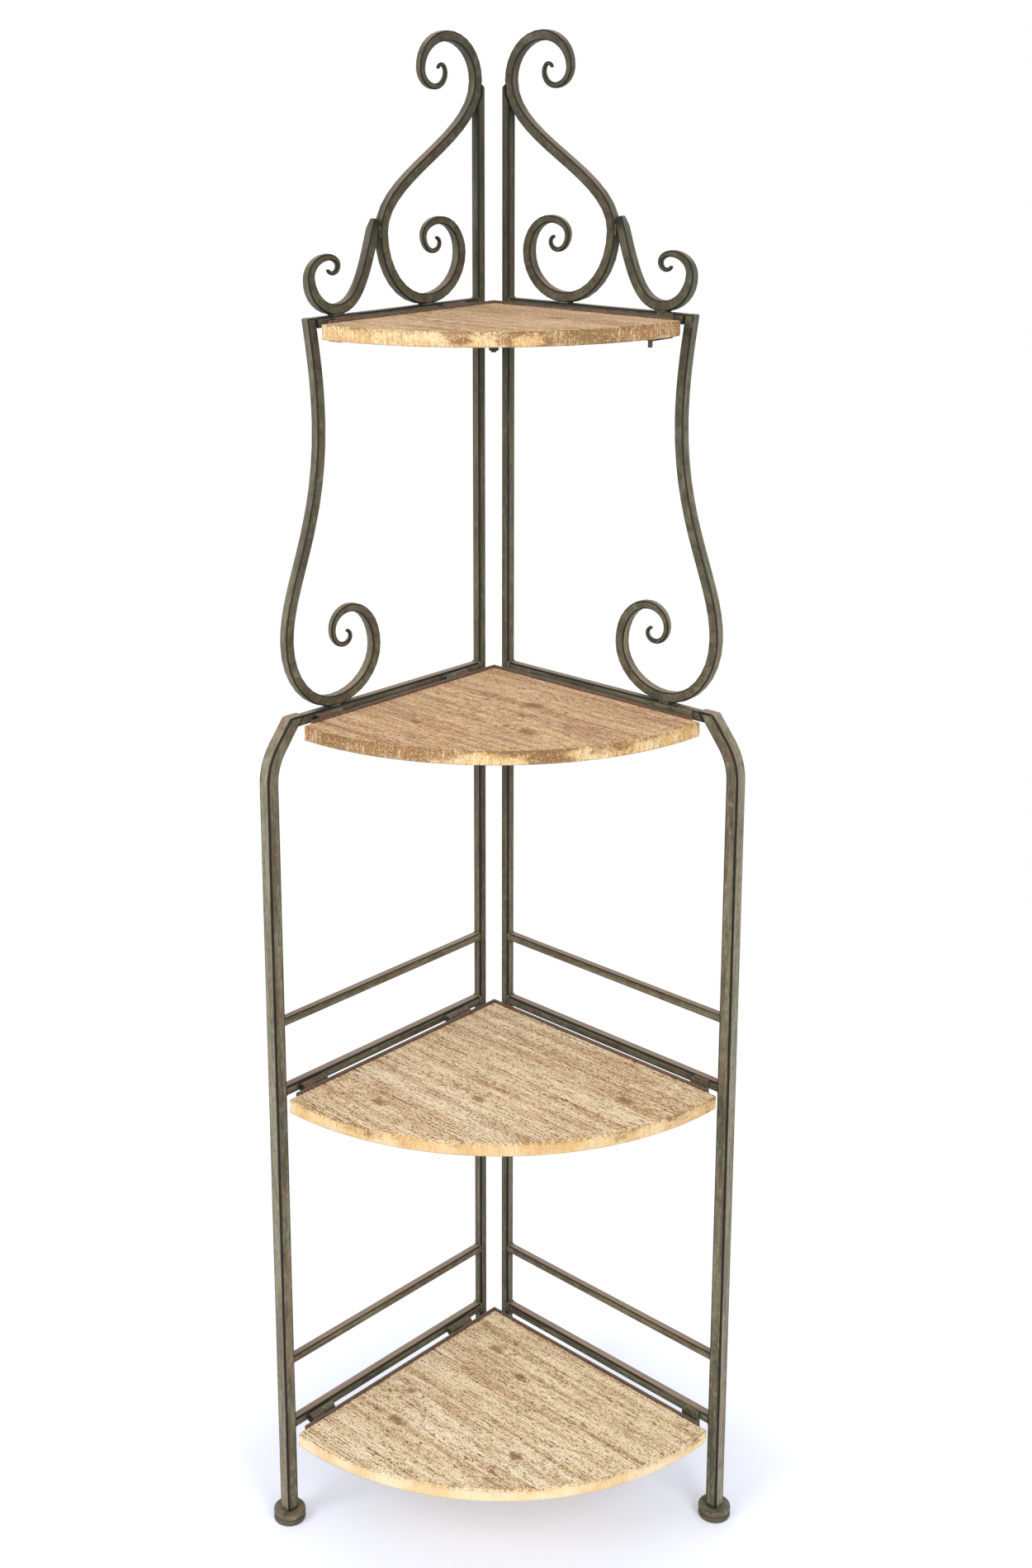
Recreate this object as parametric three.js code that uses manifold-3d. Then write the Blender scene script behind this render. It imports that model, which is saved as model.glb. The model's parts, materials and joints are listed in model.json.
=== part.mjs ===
// Corner shelf unit: two welded side frames joined by two bolts at the rear corner, and four
// quarter-round wooden shelves in steel edging that hinge on the left frame's rails and lock
// onto catches on the right frame's rails. Millimetres, +Z up, standing on z = 0.
//
// Each side frame is drawn in its own plane: t runs from the rear corner along the rails and z is
// the height. The left frame's t is the unit's -Y and the right frame's t is its +X. The pieces
// between the frames are drawn in corner places: u is the distance from the left frame's plane
// and v the distance from the right frame's plane.

import * as THREE from 'three';
import { mergeVertices } from 'three/addons/utils/BufferGeometryUtils.js';
import { ConvexGeometry } from 'three/addons/geometries/ConvexGeometry.js';
import Module from 'manifold-3d';

const wasm = await Module();
wasm.setup();

// Square bars of the side frames
const bar = 9;                  // rear posts, rails and scrolls
const legBar = 12.5;              // front legs
const guardBar = 7.3;           // guard rails over the two lower shelves
const weldGap = 0.3;            // left between pieces that meet on a curve or a slant
const turnGap = 0.3;            // running clearance of everything that turns

// Plan of a side frame
const postOffset = 19;          // rear corner to a rear post's centre
const legSpan = 265;            // rear post's centre to front leg's centre
const topRailSpan = 212;        // rear post's centre to the top rail's outer corner
const legLine = postOffset + legSpan;

// Levels of a side frame
const bottomRailLevel = 100;
const shelfPitch = 342;
const guardRise = 67;           // guard rail above the rail of its shelf
const shelfCount = 4;
const railLevels = [];
for (let number = 1; number <= shelfCount; number += 1) {
  railLevels.push(bottomRailLevel + (shelfCount - number) * shelfPitch);
}
const [topRailLevel, upperRailLevel] = railLevels;
const guardCount = 2;           // this many of the lowest shelves have guard rails

// Front leg
const shoulderSlant = THREE.MathUtils.degToRad(38);
const shoulderRadius = 50;
const shoulderInset = 30;       // leg's centre line to the middle of its top end
const legTopRise = 1;           // leg's top end above the rail that it carries

// Feet
const discRadius = 15;
const discHeight = 5;
const padHeight = 5;
const padGrooveHeight = 1;
const padGrooveDepth = 1.5;
const footEdge = 1;             // rounding of the disc and the pad
const glideRadius = 7;          // small glide under each rear post
const glideHeight = 8;
const footHeight = padHeight + padGrooveHeight + discHeight;

// Crest scroll: the tall S over the top rail, leaning on its rear post
const crestSeat = 3.5;          // post's centre to the scroll's centre line where they meet
const crestReach = 118;         // from there to the scroll's front edge line
const crestHeight = 224;        // between its lowest and highest centre lines
const postTopDrop = 2;          // post's top below the place where the scroll passes it
const postTopBevel = 4;

// Small scroll: the C between the crest scroll and the front end of the top rail
const smallHeight = 70;
const smallReach = 77;
const smallEndTaper = 6;        // short rounding of the end that lies against the crest scroll

// Side scroll: the bow between the top rail and the rail below, with a curl at its foot
const bowLean = THREE.MathUtils.degToRad(9);
const waistInset = 9;
const waistDrop = 90;
const bellyOutset = 33;
const curlWidth = 103;
const curlHeight = 80;

// Forged tips of the scrolls
const tipSize = 3;
const longTaper = 105;
const shortTaper = 75;

// Shelves
const topBoardInset = 3;        // top board's front corners behind the top rails' outer corners
const upperBoardOverhang = 4;   // second board's front corners past the legs' top ends
const lowerBoardOverhang = 2;   // lower boards' front corners past the legs' centres
const boardThickness = 13;
const boardRise = 1;            // board's top above its rail's centre
const edgingFace = 16;          // outer face of the steel edging from the frame's plane
const edgingWall = 2;
const edgingLip = 2;            // edging above the board's top
const flangeWidth = 14;
const edgingSetback = 9.5;      // edging stops this far short of the board's front corners
const boardGap = 0.2;
const boardCorner = edgingFace + edgingWall;
const lowerBoardRadius = legLine + lowerBoardOverhang - boardCorner;
const boardRadii = [
  postOffset + topRailSpan - topBoardInset - boardCorner,
  legLine - shoulderInset + upperBoardOverhang - boardCorner,
  lowerBoardRadius,
  lowerBoardRadius,
];

// Shelf hinges
const pinRadius = 1.9;
const pinHeadRadius = 3;
const pinHeadLength = 1.2;
const pinEnd = 1;
const barrelRadius = 4.2;
const hingeOffset = bar / 2 + barrelRadius + turnGap;   // pin's centre from the left frame's plane
const barrelLength = 14;
const webHeight = 4;            // web that carries the barrel on the rail
const strapThickness = 3;
const frontHingeSetback = 51;   // front hinge's middle from the board's front corner line
const rearHingeSetback = 42;    // rear hinge's middle from the rear post's centre

// Catches
const catchWidth = 19;
const catchThickness = 3;
const catchSetback = 27.5;      // catch's middle from the board's front corner line
const catchFootThickness = 2;
const catchFootEnd = 32;        // foot's tip from the right frame's plane
const catchChamfer = 4;
const pegRadius = 2;
const pegDrop = 9;
const notchHalf = 3.3;          // half the width of the fork's opening

// Rear hinges
const rearPinOffset = 13.5;     // bolt's centre from both frames' planes
const rearHingeDrop = 36;       // hinge's level below the rail over it
const lugRadius = 5.5;
const lugThickness = 3;
const boltRadius = 2.5;
const boltHeadRadius = 4.6;
const boltHeadHeight = 3.5;
const nutHeight = 3.5;
const boltEnd = 1.5;

// Fineness of round surfaces and curves, in counts
const roundSides = 24;
const pinSides = 16;
const hexSides = 6;
const bendSteps = 8;
const longBendSteps = 14;
const arcSteps = 48;

// Looks
const paint = { color: 0x5b5a49, roughness: 0.6, metalness: 0.35 };
const edgingPaint = { color: 0x4c4338, roughness: 0.65, metalness: 0.35 };
const wood = { color: 0xc8ab7e, roughness: 0.85, metalness: 0 };
const plainSteel = { color: 0x4a463f, roughness: 0.5, metalness: 0.7 };
const padRubber = { color: 0x3a382f, roughness: 0.8, metalness: 0 };

// Solids and their joining and cutting
function solidOf(geometry) {
  const plain = geometry.clone();
  plain.deleteAttribute('normal');
  plain.deleteAttribute('uv');
  const merged = mergeVertices(plain);
  return new wasm.Manifold(new wasm.Mesh({
    numProp: 3,
    vertProperties: new Float32Array(merged.getAttribute('position').array),
    triVerts: new Uint32Array(merged.getIndex().array),
  }));
}

function geometryOf(solid) {
  const mesh = solid.getMesh();
  const geometry = new THREE.BufferGeometry();
  geometry.setAttribute('position', new THREE.BufferAttribute(new Float32Array(mesh.vertProperties), 3));
  geometry.setIndex(new THREE.BufferAttribute(new Uint32Array(mesh.triVerts), 1));
  geometry.computeVertexNormals();
  return geometry;
}

function joined(...geometries) {
  return geometryOf(geometries.map(solidOf).reduce((whole, next) => whole.add(next)));
}

function cut(geometry, ...tools) {
  return geometryOf(tools.map(solidOf).reduce((rest, tool) => rest.subtract(tool), solidOf(geometry)));
}

// A block between two opposite corners
function block([x0, y0, z0], [x1, y1, z1]) {
  const geometry = new THREE.BoxGeometry(x1 - x0, y1 - y0, z1 - z0);
  return geometry.translate((x0 + x1) / 2, (y0 + y1) / 2, (z0 + z1) / 2);
}

// A block in corner places
function cornerBlock([u0, v0, z0], [u1, v1, z1]) {
  return block([u0, -v1, z0], [u1, -v0, z1]);
}

// A round bar along the left frame's rails, in corner places
function crossRod(radius, u, v0, v1, z, sides) {
  const geometry = new THREE.CylinderGeometry(radius, radius, v1 - v0, sides);
  return geometry.translate(u, -(v0 + v1) / 2, z);
}

// An upright round bar in corner places
function uprightRod(radius, u, v, z0, z1, sides) {
  const geometry = new THREE.CylinderGeometry(radius, radius, z1 - z0, sides);
  geometry.rotateX(Math.PI / 2);
  return geometry.translate(u, -v, (z0 + z1) / 2);
}

// An outline in the t-z plane, given a width across it
function plate(outline, width) {
  const shape = new THREE.Shape(outline.map(([t, z]) => new THREE.Vector2(t, z)));
  const geometry = new THREE.ExtrudeGeometry(shape, { depth: width, bevelEnabled: false });
  geometry.rotateX(Math.PI / 2);
  return geometry.translate(0, width / 2, 0);
}

// A disc with rounded edges that stands on a level
function roundDisc(radius, edge, z0, z1) {
  const profile = [[0, z0], [radius - edge, z0], [radius, z0 + edge], [radius, z1 - edge], [radius - edge, z1], [0, z1]];
  const geometry = new THREE.LatheGeometry(profile.map(([r, z]) => new THREE.Vector2(r, z)), roundSides);
  return geometry.rotateX(Math.PI / 2);
}

// Headings of a bent bar in its frame's plane
const UP = Math.PI / 2;
const DOWN = -Math.PI / 2;
const OUT = 0;                  // towards the frame's front end
const IN = Math.PI;             // towards the rear post

function direction(heading) {
  return new THREE.Vector2(Math.cos(heading), Math.sin(heading));
}

// How far a curve's handle reaches, as a share of the stretch along its heading: a circle's
// share for the angle between the two headings, and a third on a straight stretch.
function handleShare(from, to) {
  const bend = Math.acos(THREE.MathUtils.clamp(from.dot(to), -1, 1));
  const straight = Math.sin(bend) < 1e-6;
  return straight ? 1 / 3 : (4 / 3) * Math.tan(bend / 4) / Math.sin(bend);
}

// A smooth line through knots [t, z, heading]; a knot may name its own handle shares
function flowingLine(knots) {
  const stretches = [];
  for (let index = 1; index < knots.length; index += 1) {
    const [before, after] = [knots[index - 1], knots[index]];
    const start = new THREE.Vector2(...before.at);
    const end = new THREE.Vector2(...after.at);
    const from = direction(before.heading);
    const to = direction(after.heading);
    const chord = end.clone().sub(start);
    const share = handleShare(from, to);
    const leave = Math.abs(chord.dot(from)) * (before.leaveShare ?? share);
    const arrive = Math.abs(chord.dot(to)) * (after.arriveShare ?? share);
    const curve = new THREE.CubicBezierCurve(
      start,
      start.clone().addScaledVector(from, leave),
      end.clone().addScaledVector(to, -arrive),
      end,
    );
    stretches.push({ curve, steps: before.steps ?? bendSteps });
  }
  return stretches;
}

// Places and headings along a flowing line, with the length run so far
function stations(stretches) {
  const list = [];
  let run = 0;
  for (const { curve, steps } of stretches) {
    for (let step = list.length === 0 ? 0 : 1; step <= steps; step += 1) {
      const place = curve.getPoint(step / steps);
      const last = list[list.length - 1];
      run += last ? place.distanceTo(last.place) : 0;
      list.push({ place, along: curve.getTangent(step / steps), run });
    }
  }
  return list;
}

// A square bar bent along a flowing line. Its ends may taper to a small tip, or be cut off level.
function bentBar(stretches, { size = bar, startTip = size, startTaper = size, endTip = size, endTaper = size,
  startLevel = null, endLevel = null, grow = 0 } = {}) {
  const line = stations(stretches);
  const length = line[line.length - 1].run;
  const corners = [];
  line.forEach(({ place, along, run }, index) => {
    const nearStart = THREE.MathUtils.clamp(run / startTaper, 0, 1);
    const nearEnd = THREE.MathUtils.clamp((length - run) / endTaper, 0, 1);
    const wide = Math.min(
      THREE.MathUtils.lerp(startTip, size, nearStart),
      THREE.MathUtils.lerp(endTip, size, nearEnd),
    );
    const half = wide / 2 + grow;
    const level = index === 0 ? startLevel : index === line.length - 1 ? endLevel : null;
    for (const [across, y] of [[-half, -half], [half, -half], [half, half], [-half, half]]) {
      const corner = new THREE.Vector2(-along.y, along.x).multiplyScalar(across).add(place);
      if (level !== null) {
        corner.addScaledVector(along, (level - corner.y) / along.y);
      }
      corners.push(corner.x, y, corner.y);
    }
  });
  const faces = [0, 1, 2, 0, 2, 3];
  for (let ring = 1; ring < line.length; ring += 1) {
    const [low, high] = [(ring - 1) * 4, ring * 4];
    for (let side = 0; side < 4; side += 1) {
      const next = (side + 1) % 4;
      faces.push(low + side, high + side, high + next, low + side, high + next, low + next);
    }
  }
  const tip = (line.length - 1) * 4;
  faces.push(tip, tip + 2, tip + 1, tip, tip + 3, tip + 2);
  const geometry = new THREE.BufferGeometry();
  geometry.setAttribute('position', new THREE.Float32BufferAttribute(corners, 3));
  geometry.setIndex(faces);
  geometry.computeVertexNormals();
  return geometry;
}

// Knots given as shares of a scroll's reach and height
function scrollKnots(origin, reach, height, places) {
  return places.map(({ shares: [tShare, zShare], ...rest }) => (
    { at: [origin[0] + reach * tShare, origin[1] + height * zShare], ...rest }));
}

// Crest scroll, from its upper curl over the post and down to its lower curl
const crestShares = [
  { shares: [0.40, 0.877], heading: UP },
  { shares: [0.365, 0.893], heading: IN },
  { shares: [0.325, 0.862], heading: DOWN },
  { shares: [0.435, 0.81], heading: OUT },
  { shares: [0.58, 0.88], heading: UP },
  { shares: [0.325, 1], heading: IN },
  { shares: [0, 0.83], heading: DOWN, leaveShare: 0.42, steps: longBendSteps },
  { shares: [1, 0.27], heading: DOWN, arriveShare: 0.4 },
  { shares: [0.55, 0], heading: IN },
  { shares: [0.185, 0.17], heading: UP },
  { shares: [0.41, 0.301], heading: OUT },
  { shares: [0.57, 0.245], heading: DOWN },
  { shares: [0.466, 0.183], heading: IN },
  { shares: [0.397, 0.212], heading: UP },
  { shares: [0.436, 0.233], heading: OUT },
];
const crestOverPost = 6;        // the knot beside the post, counted from 0
const crestBase = topRailLevel + bar / 2 + weldGap + bar / 2;
const crestKnots = scrollKnots([postOffset + crestSeat, crestBase], crestReach, crestHeight, crestShares);
const crestLine = flowingLine(crestKnots);
const crestTaper = { startTip: tipSize, startTaper: longTaper, endTip: tipSize, endTaper: longTaper };

function crestScroll(grow = 0) {
  return bentBar(crestLine, { ...crestTaper, grow });
}

// Small scroll: its upper end lies against the crest scroll's front side, along the same heading
function smallScrollKnots() {
  const descent = crestLine[crestOverPost].curve;
  const level = crestBase + smallHeight;
  let [low, high] = [0, 1];
  for (let halving = 0; halving < 40; halving += 1) {
    const middle = (low + high) / 2;
    [low, high] = descent.getPoint(middle).y > level ? [middle, high] : [low, middle];
  }
  const along = descent.getTangent(low);
  const beside = new THREE.Vector2(-along.y, along.x).multiplyScalar(bar + weldGap);
  const start = descent.getPoint(low).add(beside);
  return [
    { at: [start.x, start.y], heading: along.angle(), leaveShare: 0.55, steps: longBendSteps },
    ...scrollKnots([start.x, crestBase], smallReach, smallHeight, [
      { shares: [0.624, 0], heading: OUT, arriveShare: 0.55 },
      { shares: [1, 0.393], heading: UP },
      { shares: [0.734, 0.631], heading: IN },
      { shares: [0.573, 0.52], heading: DOWN },
      { shares: [0.65, 0.433], heading: OUT },
      { shares: [0.72, 0.485], heading: UP },
    ]),
  ];
}

function smallScroll() {
  const taper = { startTip: bar - tipSize, startTaper: smallEndTaper, endTip: tipSize, endTaper: shortTaper };
  return bentBar(flowingLine(smallScrollKnots()), taper);
}

// Side scroll, from the top rail's front end down to its curl on the rail below
const bowTop = postOffset + topRailSpan - bar / 2;
const bowTopLevel = topRailLevel + bar / 2;
const bellyLine = bowTop + bellyOutset;
const bowBase = upperRailLevel + bar / 2 + weldGap + bar / 2;

function sideScroll() {
  const curl = scrollKnots([bellyLine, bowBase], -curlWidth, curlHeight, [
    { shares: [0, 0.767], heading: DOWN, arriveShare: 0.27 },
    { shares: [0.51, 0], heading: IN },
    { shares: [1, 0.516], heading: UP },
    { shares: [0.7, 1], heading: OUT },
    { shares: [0.51, 0.786], heading: DOWN },
    { shares: [0.64, 0.597], heading: IN },
    { shares: [0.72, 0.679], heading: UP },
    { shares: [0.675, 0.742], heading: OUT },
  ]);
  const knots = [
    { at: [bowTop, bowTopLevel], heading: DOWN - bowLean, leaveShare: 0.35 },
    { at: [bowTop - waistInset, bowTopLevel - waistDrop], heading: DOWN,
      arriveShare: 0.35, leaveShare: 0.5, steps: longBendSteps },
    ...curl,
  ];
  return bentBar(flowingLine(knots), { startLevel: bowTopLevel, endTip: tipSize, endTaper: longTaper });
}

// Front leg: upright, then over a bend into a slanted shoulder with a level end
const legTopLevel = upperRailLevel + bar / 2 + legTopRise;

function frontLeg() {
  const bendIn = shoulderRadius * (1 - Math.cos(shoulderSlant));
  const bendUp = shoulderRadius * Math.sin(shoulderSlant);
  const slantUp = (shoulderInset - bendIn) / Math.tan(shoulderSlant);
  const bendTop = legTopLevel - slantUp;
  const knots = [
    { at: [legLine, footHeight], heading: UP, steps: 1 },
    { at: [legLine, bendTop - bendUp], heading: UP },
    { at: [legLine - bendIn, bendTop], heading: UP + shoulderSlant, steps: 1 },
    { at: [legLine - shoulderInset, legTopLevel], heading: UP + shoulderSlant },
  ];
  return bentBar(flowingLine(knots), { size: legBar, endLevel: legTopLevel });
}

// Rear post: bevelled top cut to the crest scroll that leans on it, and a small glide below
function rearPost() {
  const top = crestKnots[crestOverPost].at[1] - postTopDrop;
  const [rear, front] = [postOffset - bar / 2, postOffset + bar / 2];
  const outline = [[rear, glideHeight / 2], [front, glideHeight / 2], [front, top],
    [rear + postTopBevel, top], [rear, top - postTopBevel]];
  const glide = roundDisc(glideRadius, footEdge, 0, glideHeight).translate(postOffset, 0, 0);
  return joined(cut(plate(outline, bar), crestScroll(weldGap)), glide);
}

// A rail from the rear post to an end that may lean: frontAt(z) is where it stops at a height
function rail(level, size, frontAt) {
  const start = postOffset + bar / 2;
  const [low, high] = [level - size / 2, level + size / 2];
  return plate([[start, low], [frontAt(low), low], [frontAt(high), high], [start, high]], size);
}

// Where each rail's front end meets its upright, from the top rail down
const legFace = legLine - legBar / 2;
const railFronts = [
  (z) => bowTop - (bowTopLevel - z) * Math.tan(bowLean) - bar / 2 / Math.cos(bowLean) - weldGap,
  (z) => legLine - shoulderInset + (legTopLevel - z) * Math.tan(shoulderSlant)
    - legBar / 2 / Math.cos(shoulderSlant) - weldGap,
  () => legFace,
  () => legFace,
];

function footDisc() {
  return roundDisc(discRadius, footEdge, footHeight - discHeight, footHeight).translate(legLine, 0, 0);
}

function footPad() {
  const neck = discRadius - padGrooveDepth;
  const profile = [[0, 0], [discRadius - footEdge, 0], [discRadius, footEdge], [discRadius, padHeight - footEdge],
    [discRadius - footEdge, padHeight], [neck, padHeight], [neck, padHeight + padGrooveHeight],
    [0, padHeight + padGrooveHeight]];
  const geometry = new THREE.LatheGeometry(profile.map(([r, z]) => new THREE.Vector2(r, z)), roundSides);
  return geometry.rotateX(Math.PI / 2).translate(legLine, 0, 0);
}

// Shelf: wooden quarter disc
function boardLevels(level) {
  return { top: level + boardRise, bottom: level + boardRise - boardThickness };
}

function shelfBoard(level, radius) {
  const { top, bottom } = boardLevels(level);
  const inner = boardCorner + boardGap;
  const shape = new THREE.Shape();
  const arm = radius - boardGap;
  shape.moveTo(inner, -inner);
  shape.lineTo(inner + arm, -inner);
  shape.absarc(inner, -inner, arm, 0, -Math.PI / 2, true);
  shape.closePath();
  const geometry = new THREE.ExtrudeGeometry(shape,
    { depth: top - bottom, bevelEnabled: false, curveSegments: arcSteps });
  return geometry.translate(0, 0, bottom);
}

// Where the two hinges of a shelf lie along its rail: the shelf's knuckle is on the outer side
// of each, and the rail's barrel on the side towards the rail's middle.
function hingePlaces(radius) {
  const front = boardCorner + radius - frontHingeSetback + barrelLength;
  const rear = postOffset + rearHingeSetback;
  return {
    rear: { knuckle: [rear - barrelLength, rear - turnGap / 2], barrel: [rear + turnGap / 2, rear + barrelLength] },
    front: { knuckle: [front + turnGap / 2, front + barrelLength], barrel: [front - barrelLength, front - turnGap / 2] },
  };
}

function pinBore(level, [v0, v1]) {
  return crossRod(pinRadius + turnGap, hingeOffset, v0 - pinEnd, v1 + pinEnd, level, pinSides);
}

function knuckle(level, [v0, v1]) {
  const round = crossRod(barrelRadius, hingeOffset, v0, v1, level, pinSides);
  const strap = cornerBlock([hingeOffset, v0, level - strapThickness / 2],
    [edgingFace + edgingWall / 2, v1, level + strapThickness / 2]);
  return cut(joined(round, strap), pinBore(level, [v0, v1]));
}

function railBarrel(level, [v0, v1]) {
  const round = crossRod(barrelRadius, hingeOffset, v0, v1, level, pinSides);
  const web = cornerBlock([bar / 2, v0, level - webHeight / 2], [hingeOffset, v1, level + webHeight / 2]);
  return cut(joined(round, web), pinBore(level, [v0, v1]));
}

// A hinge pin with a flat head past the shelf's knuckle
function hingePin(level, { knuckle: [k0, k1], barrel: [b0, b1] }) {
  const headFirst = k0 < b0;
  const shank = crossRod(pinRadius, hingeOffset, Math.min(k0, b0) - pinEnd, Math.max(k1, b1) + pinEnd, level, pinSides);
  const headAt = headFirst ? k0 - turnGap - pinHeadLength : k1 + turnGap;
  const head = crossRod(pinHeadRadius, hingeOffset, headAt, headAt + pinHeadLength, level, pinSides);
  return joined(shank, head);
}

// Shelf frame: two edging angles that meet at the rear corner, the hinges' straps and the
// locking peg under the right flange
function flangeLevels(level) {
  const flangeTop = boardLevels(level).bottom - boardGap;
  return { flangeTop, flangeBottom: flangeTop - edgingWall };
}

function pegPlace(radius) {
  return { u: boardCorner + radius - catchSetback, v: edgingFace + flangeWidth / 2 };
}

function shelfFrame(level, radius) {
  const { top } = boardLevels(level);
  const { flangeTop, flangeBottom } = flangeLevels(level);
  const lipTop = top + edgingLip;
  const end = boardCorner + radius - edgingSetback;
  const flangeEdge = edgingFace + flangeWidth;
  const places = hingePlaces(radius);
  const peg = pegPlace(radius);
  return joined(
    cornerBlock([edgingFace, edgingFace, flangeBottom], [boardCorner, end, lipTop]),
    cornerBlock([edgingFace, edgingFace, flangeBottom], [end, boardCorner, lipTop]),
    cornerBlock([edgingFace, edgingFace, flangeBottom], [flangeEdge, end, flangeTop]),
    cornerBlock([edgingFace, edgingFace, flangeBottom], [end, flangeEdge, flangeTop]),
    knuckle(level, places.rear.knuckle),
    knuckle(level, places.front.knuckle),
    uprightRod(pegRadius, peg.u, peg.v, flangeBottom - pegDrop, flangeTop - edgingWall / 2, pinSides),
  );
}

// Catch: a tab on the right rail with a forked foot under the shelf's flange; the shelf's peg
// drops into the fork, which is open towards its tip
function shelfCatch(level, radius) {
  const peg = pegPlace(radius);
  const footTop = flangeLevels(level).flangeBottom - turnGap;
  const footBottom = footTop - catchFootThickness;
  const tabTop = level + bar / 2;
  const [rear, front] = [peg.u - catchWidth / 2, peg.u + catchWidth / 2];
  const tabOutline = [[rear, footBottom], [front, footBottom], [front, tabTop],
    [rear + catchChamfer, tabTop], [rear, tabTop - catchChamfer]];
  const tab = plate(tabOutline, catchThickness).translate(0, -(bar + catchThickness) / 2, 0);
  const foot = cornerBlock([rear, bar / 2, footBottom], [front, catchFootEnd, footTop]);
  const notch = cornerBlock([peg.u - notchHalf, peg.v - notchHalf, footBottom - pegDrop],
    [peg.u + notchHalf, catchFootEnd + pegDrop, footTop + pegDrop]);
  return cut(joined(tab, foot), notch);
}

// Rear hinge: one lug from each rear post, turning on an upright bolt
function lug(side, z0, z1) {
  const face = bar / 2;
  const ends = [postOffset - bar / 2, postOffset + bar / 2];
  const places = ends.map((along) => (side === 'left' ? [face, along] : [along, face]));
  for (let step = 0; step < roundSides; step += 1) {
    const angle = 2 * Math.PI * step / roundSides;
    places.push([rearPinOffset + lugRadius * Math.cos(angle), rearPinOffset + lugRadius * Math.sin(angle)]);
  }
  const points = places.flatMap(([u, v]) => [new THREE.Vector3(u, -v, z0), new THREE.Vector3(u, -v, z1)]);
  const bore = uprightRod(boltRadius + turnGap, rearPinOffset, rearPinOffset, z0 - lugThickness, z1 + lugThickness, pinSides);
  return cut(new ConvexGeometry(points), bore);
}

function rearBolt(level) {
  const headBottom = level + turnGap / 2 + lugThickness;
  const nutTop = level - turnGap / 2 - lugThickness - turnGap;
  const at = [rearPinOffset, rearPinOffset];
  return joined(
    uprightRod(boltHeadRadius, ...at, headBottom, headBottom + boltHeadHeight, hexSides),
    uprightRod(boltRadius, ...at, nutTop - nutHeight - boltEnd, headBottom + boltHeadHeight / 2, pinSides),
    uprightRod(boltHeadRadius, ...at, nutTop - nutHeight, nutTop, hexSides),
  );
}

// The assembly
const unit = new THREE.Group();

function addPiece(group, name, geometry, look) {
  const mesh = new THREE.Mesh(geometry, new THREE.MeshStandardMaterial(look));
  mesh.name = name;
  group.add(mesh);
}

function sideFrame(side) {
  const group = new THREE.Group();
  addPiece(group, `${side}_rear_post`, rearPost(), paint);
  addPiece(group, `${side}_front_leg`, frontLeg(), paint);
  railLevels.forEach((level, index) => {
    addPiece(group, `${side}_rail_${index + 1}`, rail(level, bar, railFronts[index]), paint);
  });
  for (let number = shelfCount - guardCount + 1; number <= shelfCount; number += 1) {
    const guard = rail(railLevels[number - 1] + guardRise, guardBar, () => legFace);
    addPiece(group, `${side}_guard_${number}`, guard, paint);
  }
  addPiece(group, `${side}_side_scroll`, sideScroll(), paint);
  addPiece(group, `${side}_crest_scroll`, crestScroll(), paint);
  addPiece(group, `${side}_small_scroll`, smallScroll(), paint);
  addPiece(group, `${side}_foot_disc`, footDisc(), paint);
  addPiece(group, `${side}_foot_pad`, footPad(), padRubber);
  return group;
}

const rightFrame = sideFrame('right');
const leftFrame = sideFrame('left');
leftFrame.rotation.z = -Math.PI / 2;
unit.add(leftFrame, rightFrame);

railLevels.forEach((level, index) => {
  const number = index + 1;
  const radius = boardRadii[index];
  const places = hingePlaces(radius);
  addPiece(unit, `shelf_${number}_board`, shelfBoard(level, radius), wood);
  addPiece(unit, `shelf_${number}_frame`, shelfFrame(level, radius), edgingPaint);
  addPiece(unit, `shelf_${number}_catch`, shelfCatch(level, radius), paint);
  for (const end of ['rear', 'front']) {
    addPiece(unit, `shelf_${number}_${end}_barrel`, railBarrel(level, places[end].barrel), paint);
    addPiece(unit, `shelf_${number}_${end}_pin`, hingePin(level, places[end]), plainSteel);
  }
});

const rearHingeLevels = { upper: topRailLevel - rearHingeDrop, lower: bottomRailLevel - rearHingeDrop };
for (const [place, level] of Object.entries(rearHingeLevels)) {
  const gap = turnGap / 2;
  addPiece(unit, `${place}_left_lug`, lug('left', level + gap, level + gap + lugThickness), paint);
  addPiece(unit, `${place}_right_lug`, lug('right', level - gap - lugThickness, level - gap), paint);
  addPiece(unit, `${place}_hinge_bolt`, rearBolt(level), plainSteel);
}

// The origin is the middle of the unit's footprint
unit.position.set(-legLine / 2, legLine / 2, 0);

export default unit;
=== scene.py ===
import json
import math

import bpy
import numpy as np
from mathutils import Matrix, Vector
from mathutils.kdtree import KDTree


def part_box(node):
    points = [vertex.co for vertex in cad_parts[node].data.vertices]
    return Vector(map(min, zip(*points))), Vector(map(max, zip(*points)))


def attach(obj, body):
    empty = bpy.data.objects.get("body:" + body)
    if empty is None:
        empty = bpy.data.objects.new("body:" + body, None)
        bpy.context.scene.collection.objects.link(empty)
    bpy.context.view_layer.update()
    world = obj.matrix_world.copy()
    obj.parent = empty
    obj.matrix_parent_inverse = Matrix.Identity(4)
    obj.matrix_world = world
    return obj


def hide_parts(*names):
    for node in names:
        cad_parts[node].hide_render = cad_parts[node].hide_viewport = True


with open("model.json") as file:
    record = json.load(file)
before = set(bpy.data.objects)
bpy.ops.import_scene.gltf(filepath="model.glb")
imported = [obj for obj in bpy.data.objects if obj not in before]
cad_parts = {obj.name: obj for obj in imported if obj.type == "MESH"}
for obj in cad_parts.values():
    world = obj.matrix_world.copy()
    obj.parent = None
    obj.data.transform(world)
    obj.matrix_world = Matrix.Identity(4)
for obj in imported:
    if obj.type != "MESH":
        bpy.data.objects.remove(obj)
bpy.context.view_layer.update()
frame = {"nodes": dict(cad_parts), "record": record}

MM = 0.001
FRAMES = ("left", "right")
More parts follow.
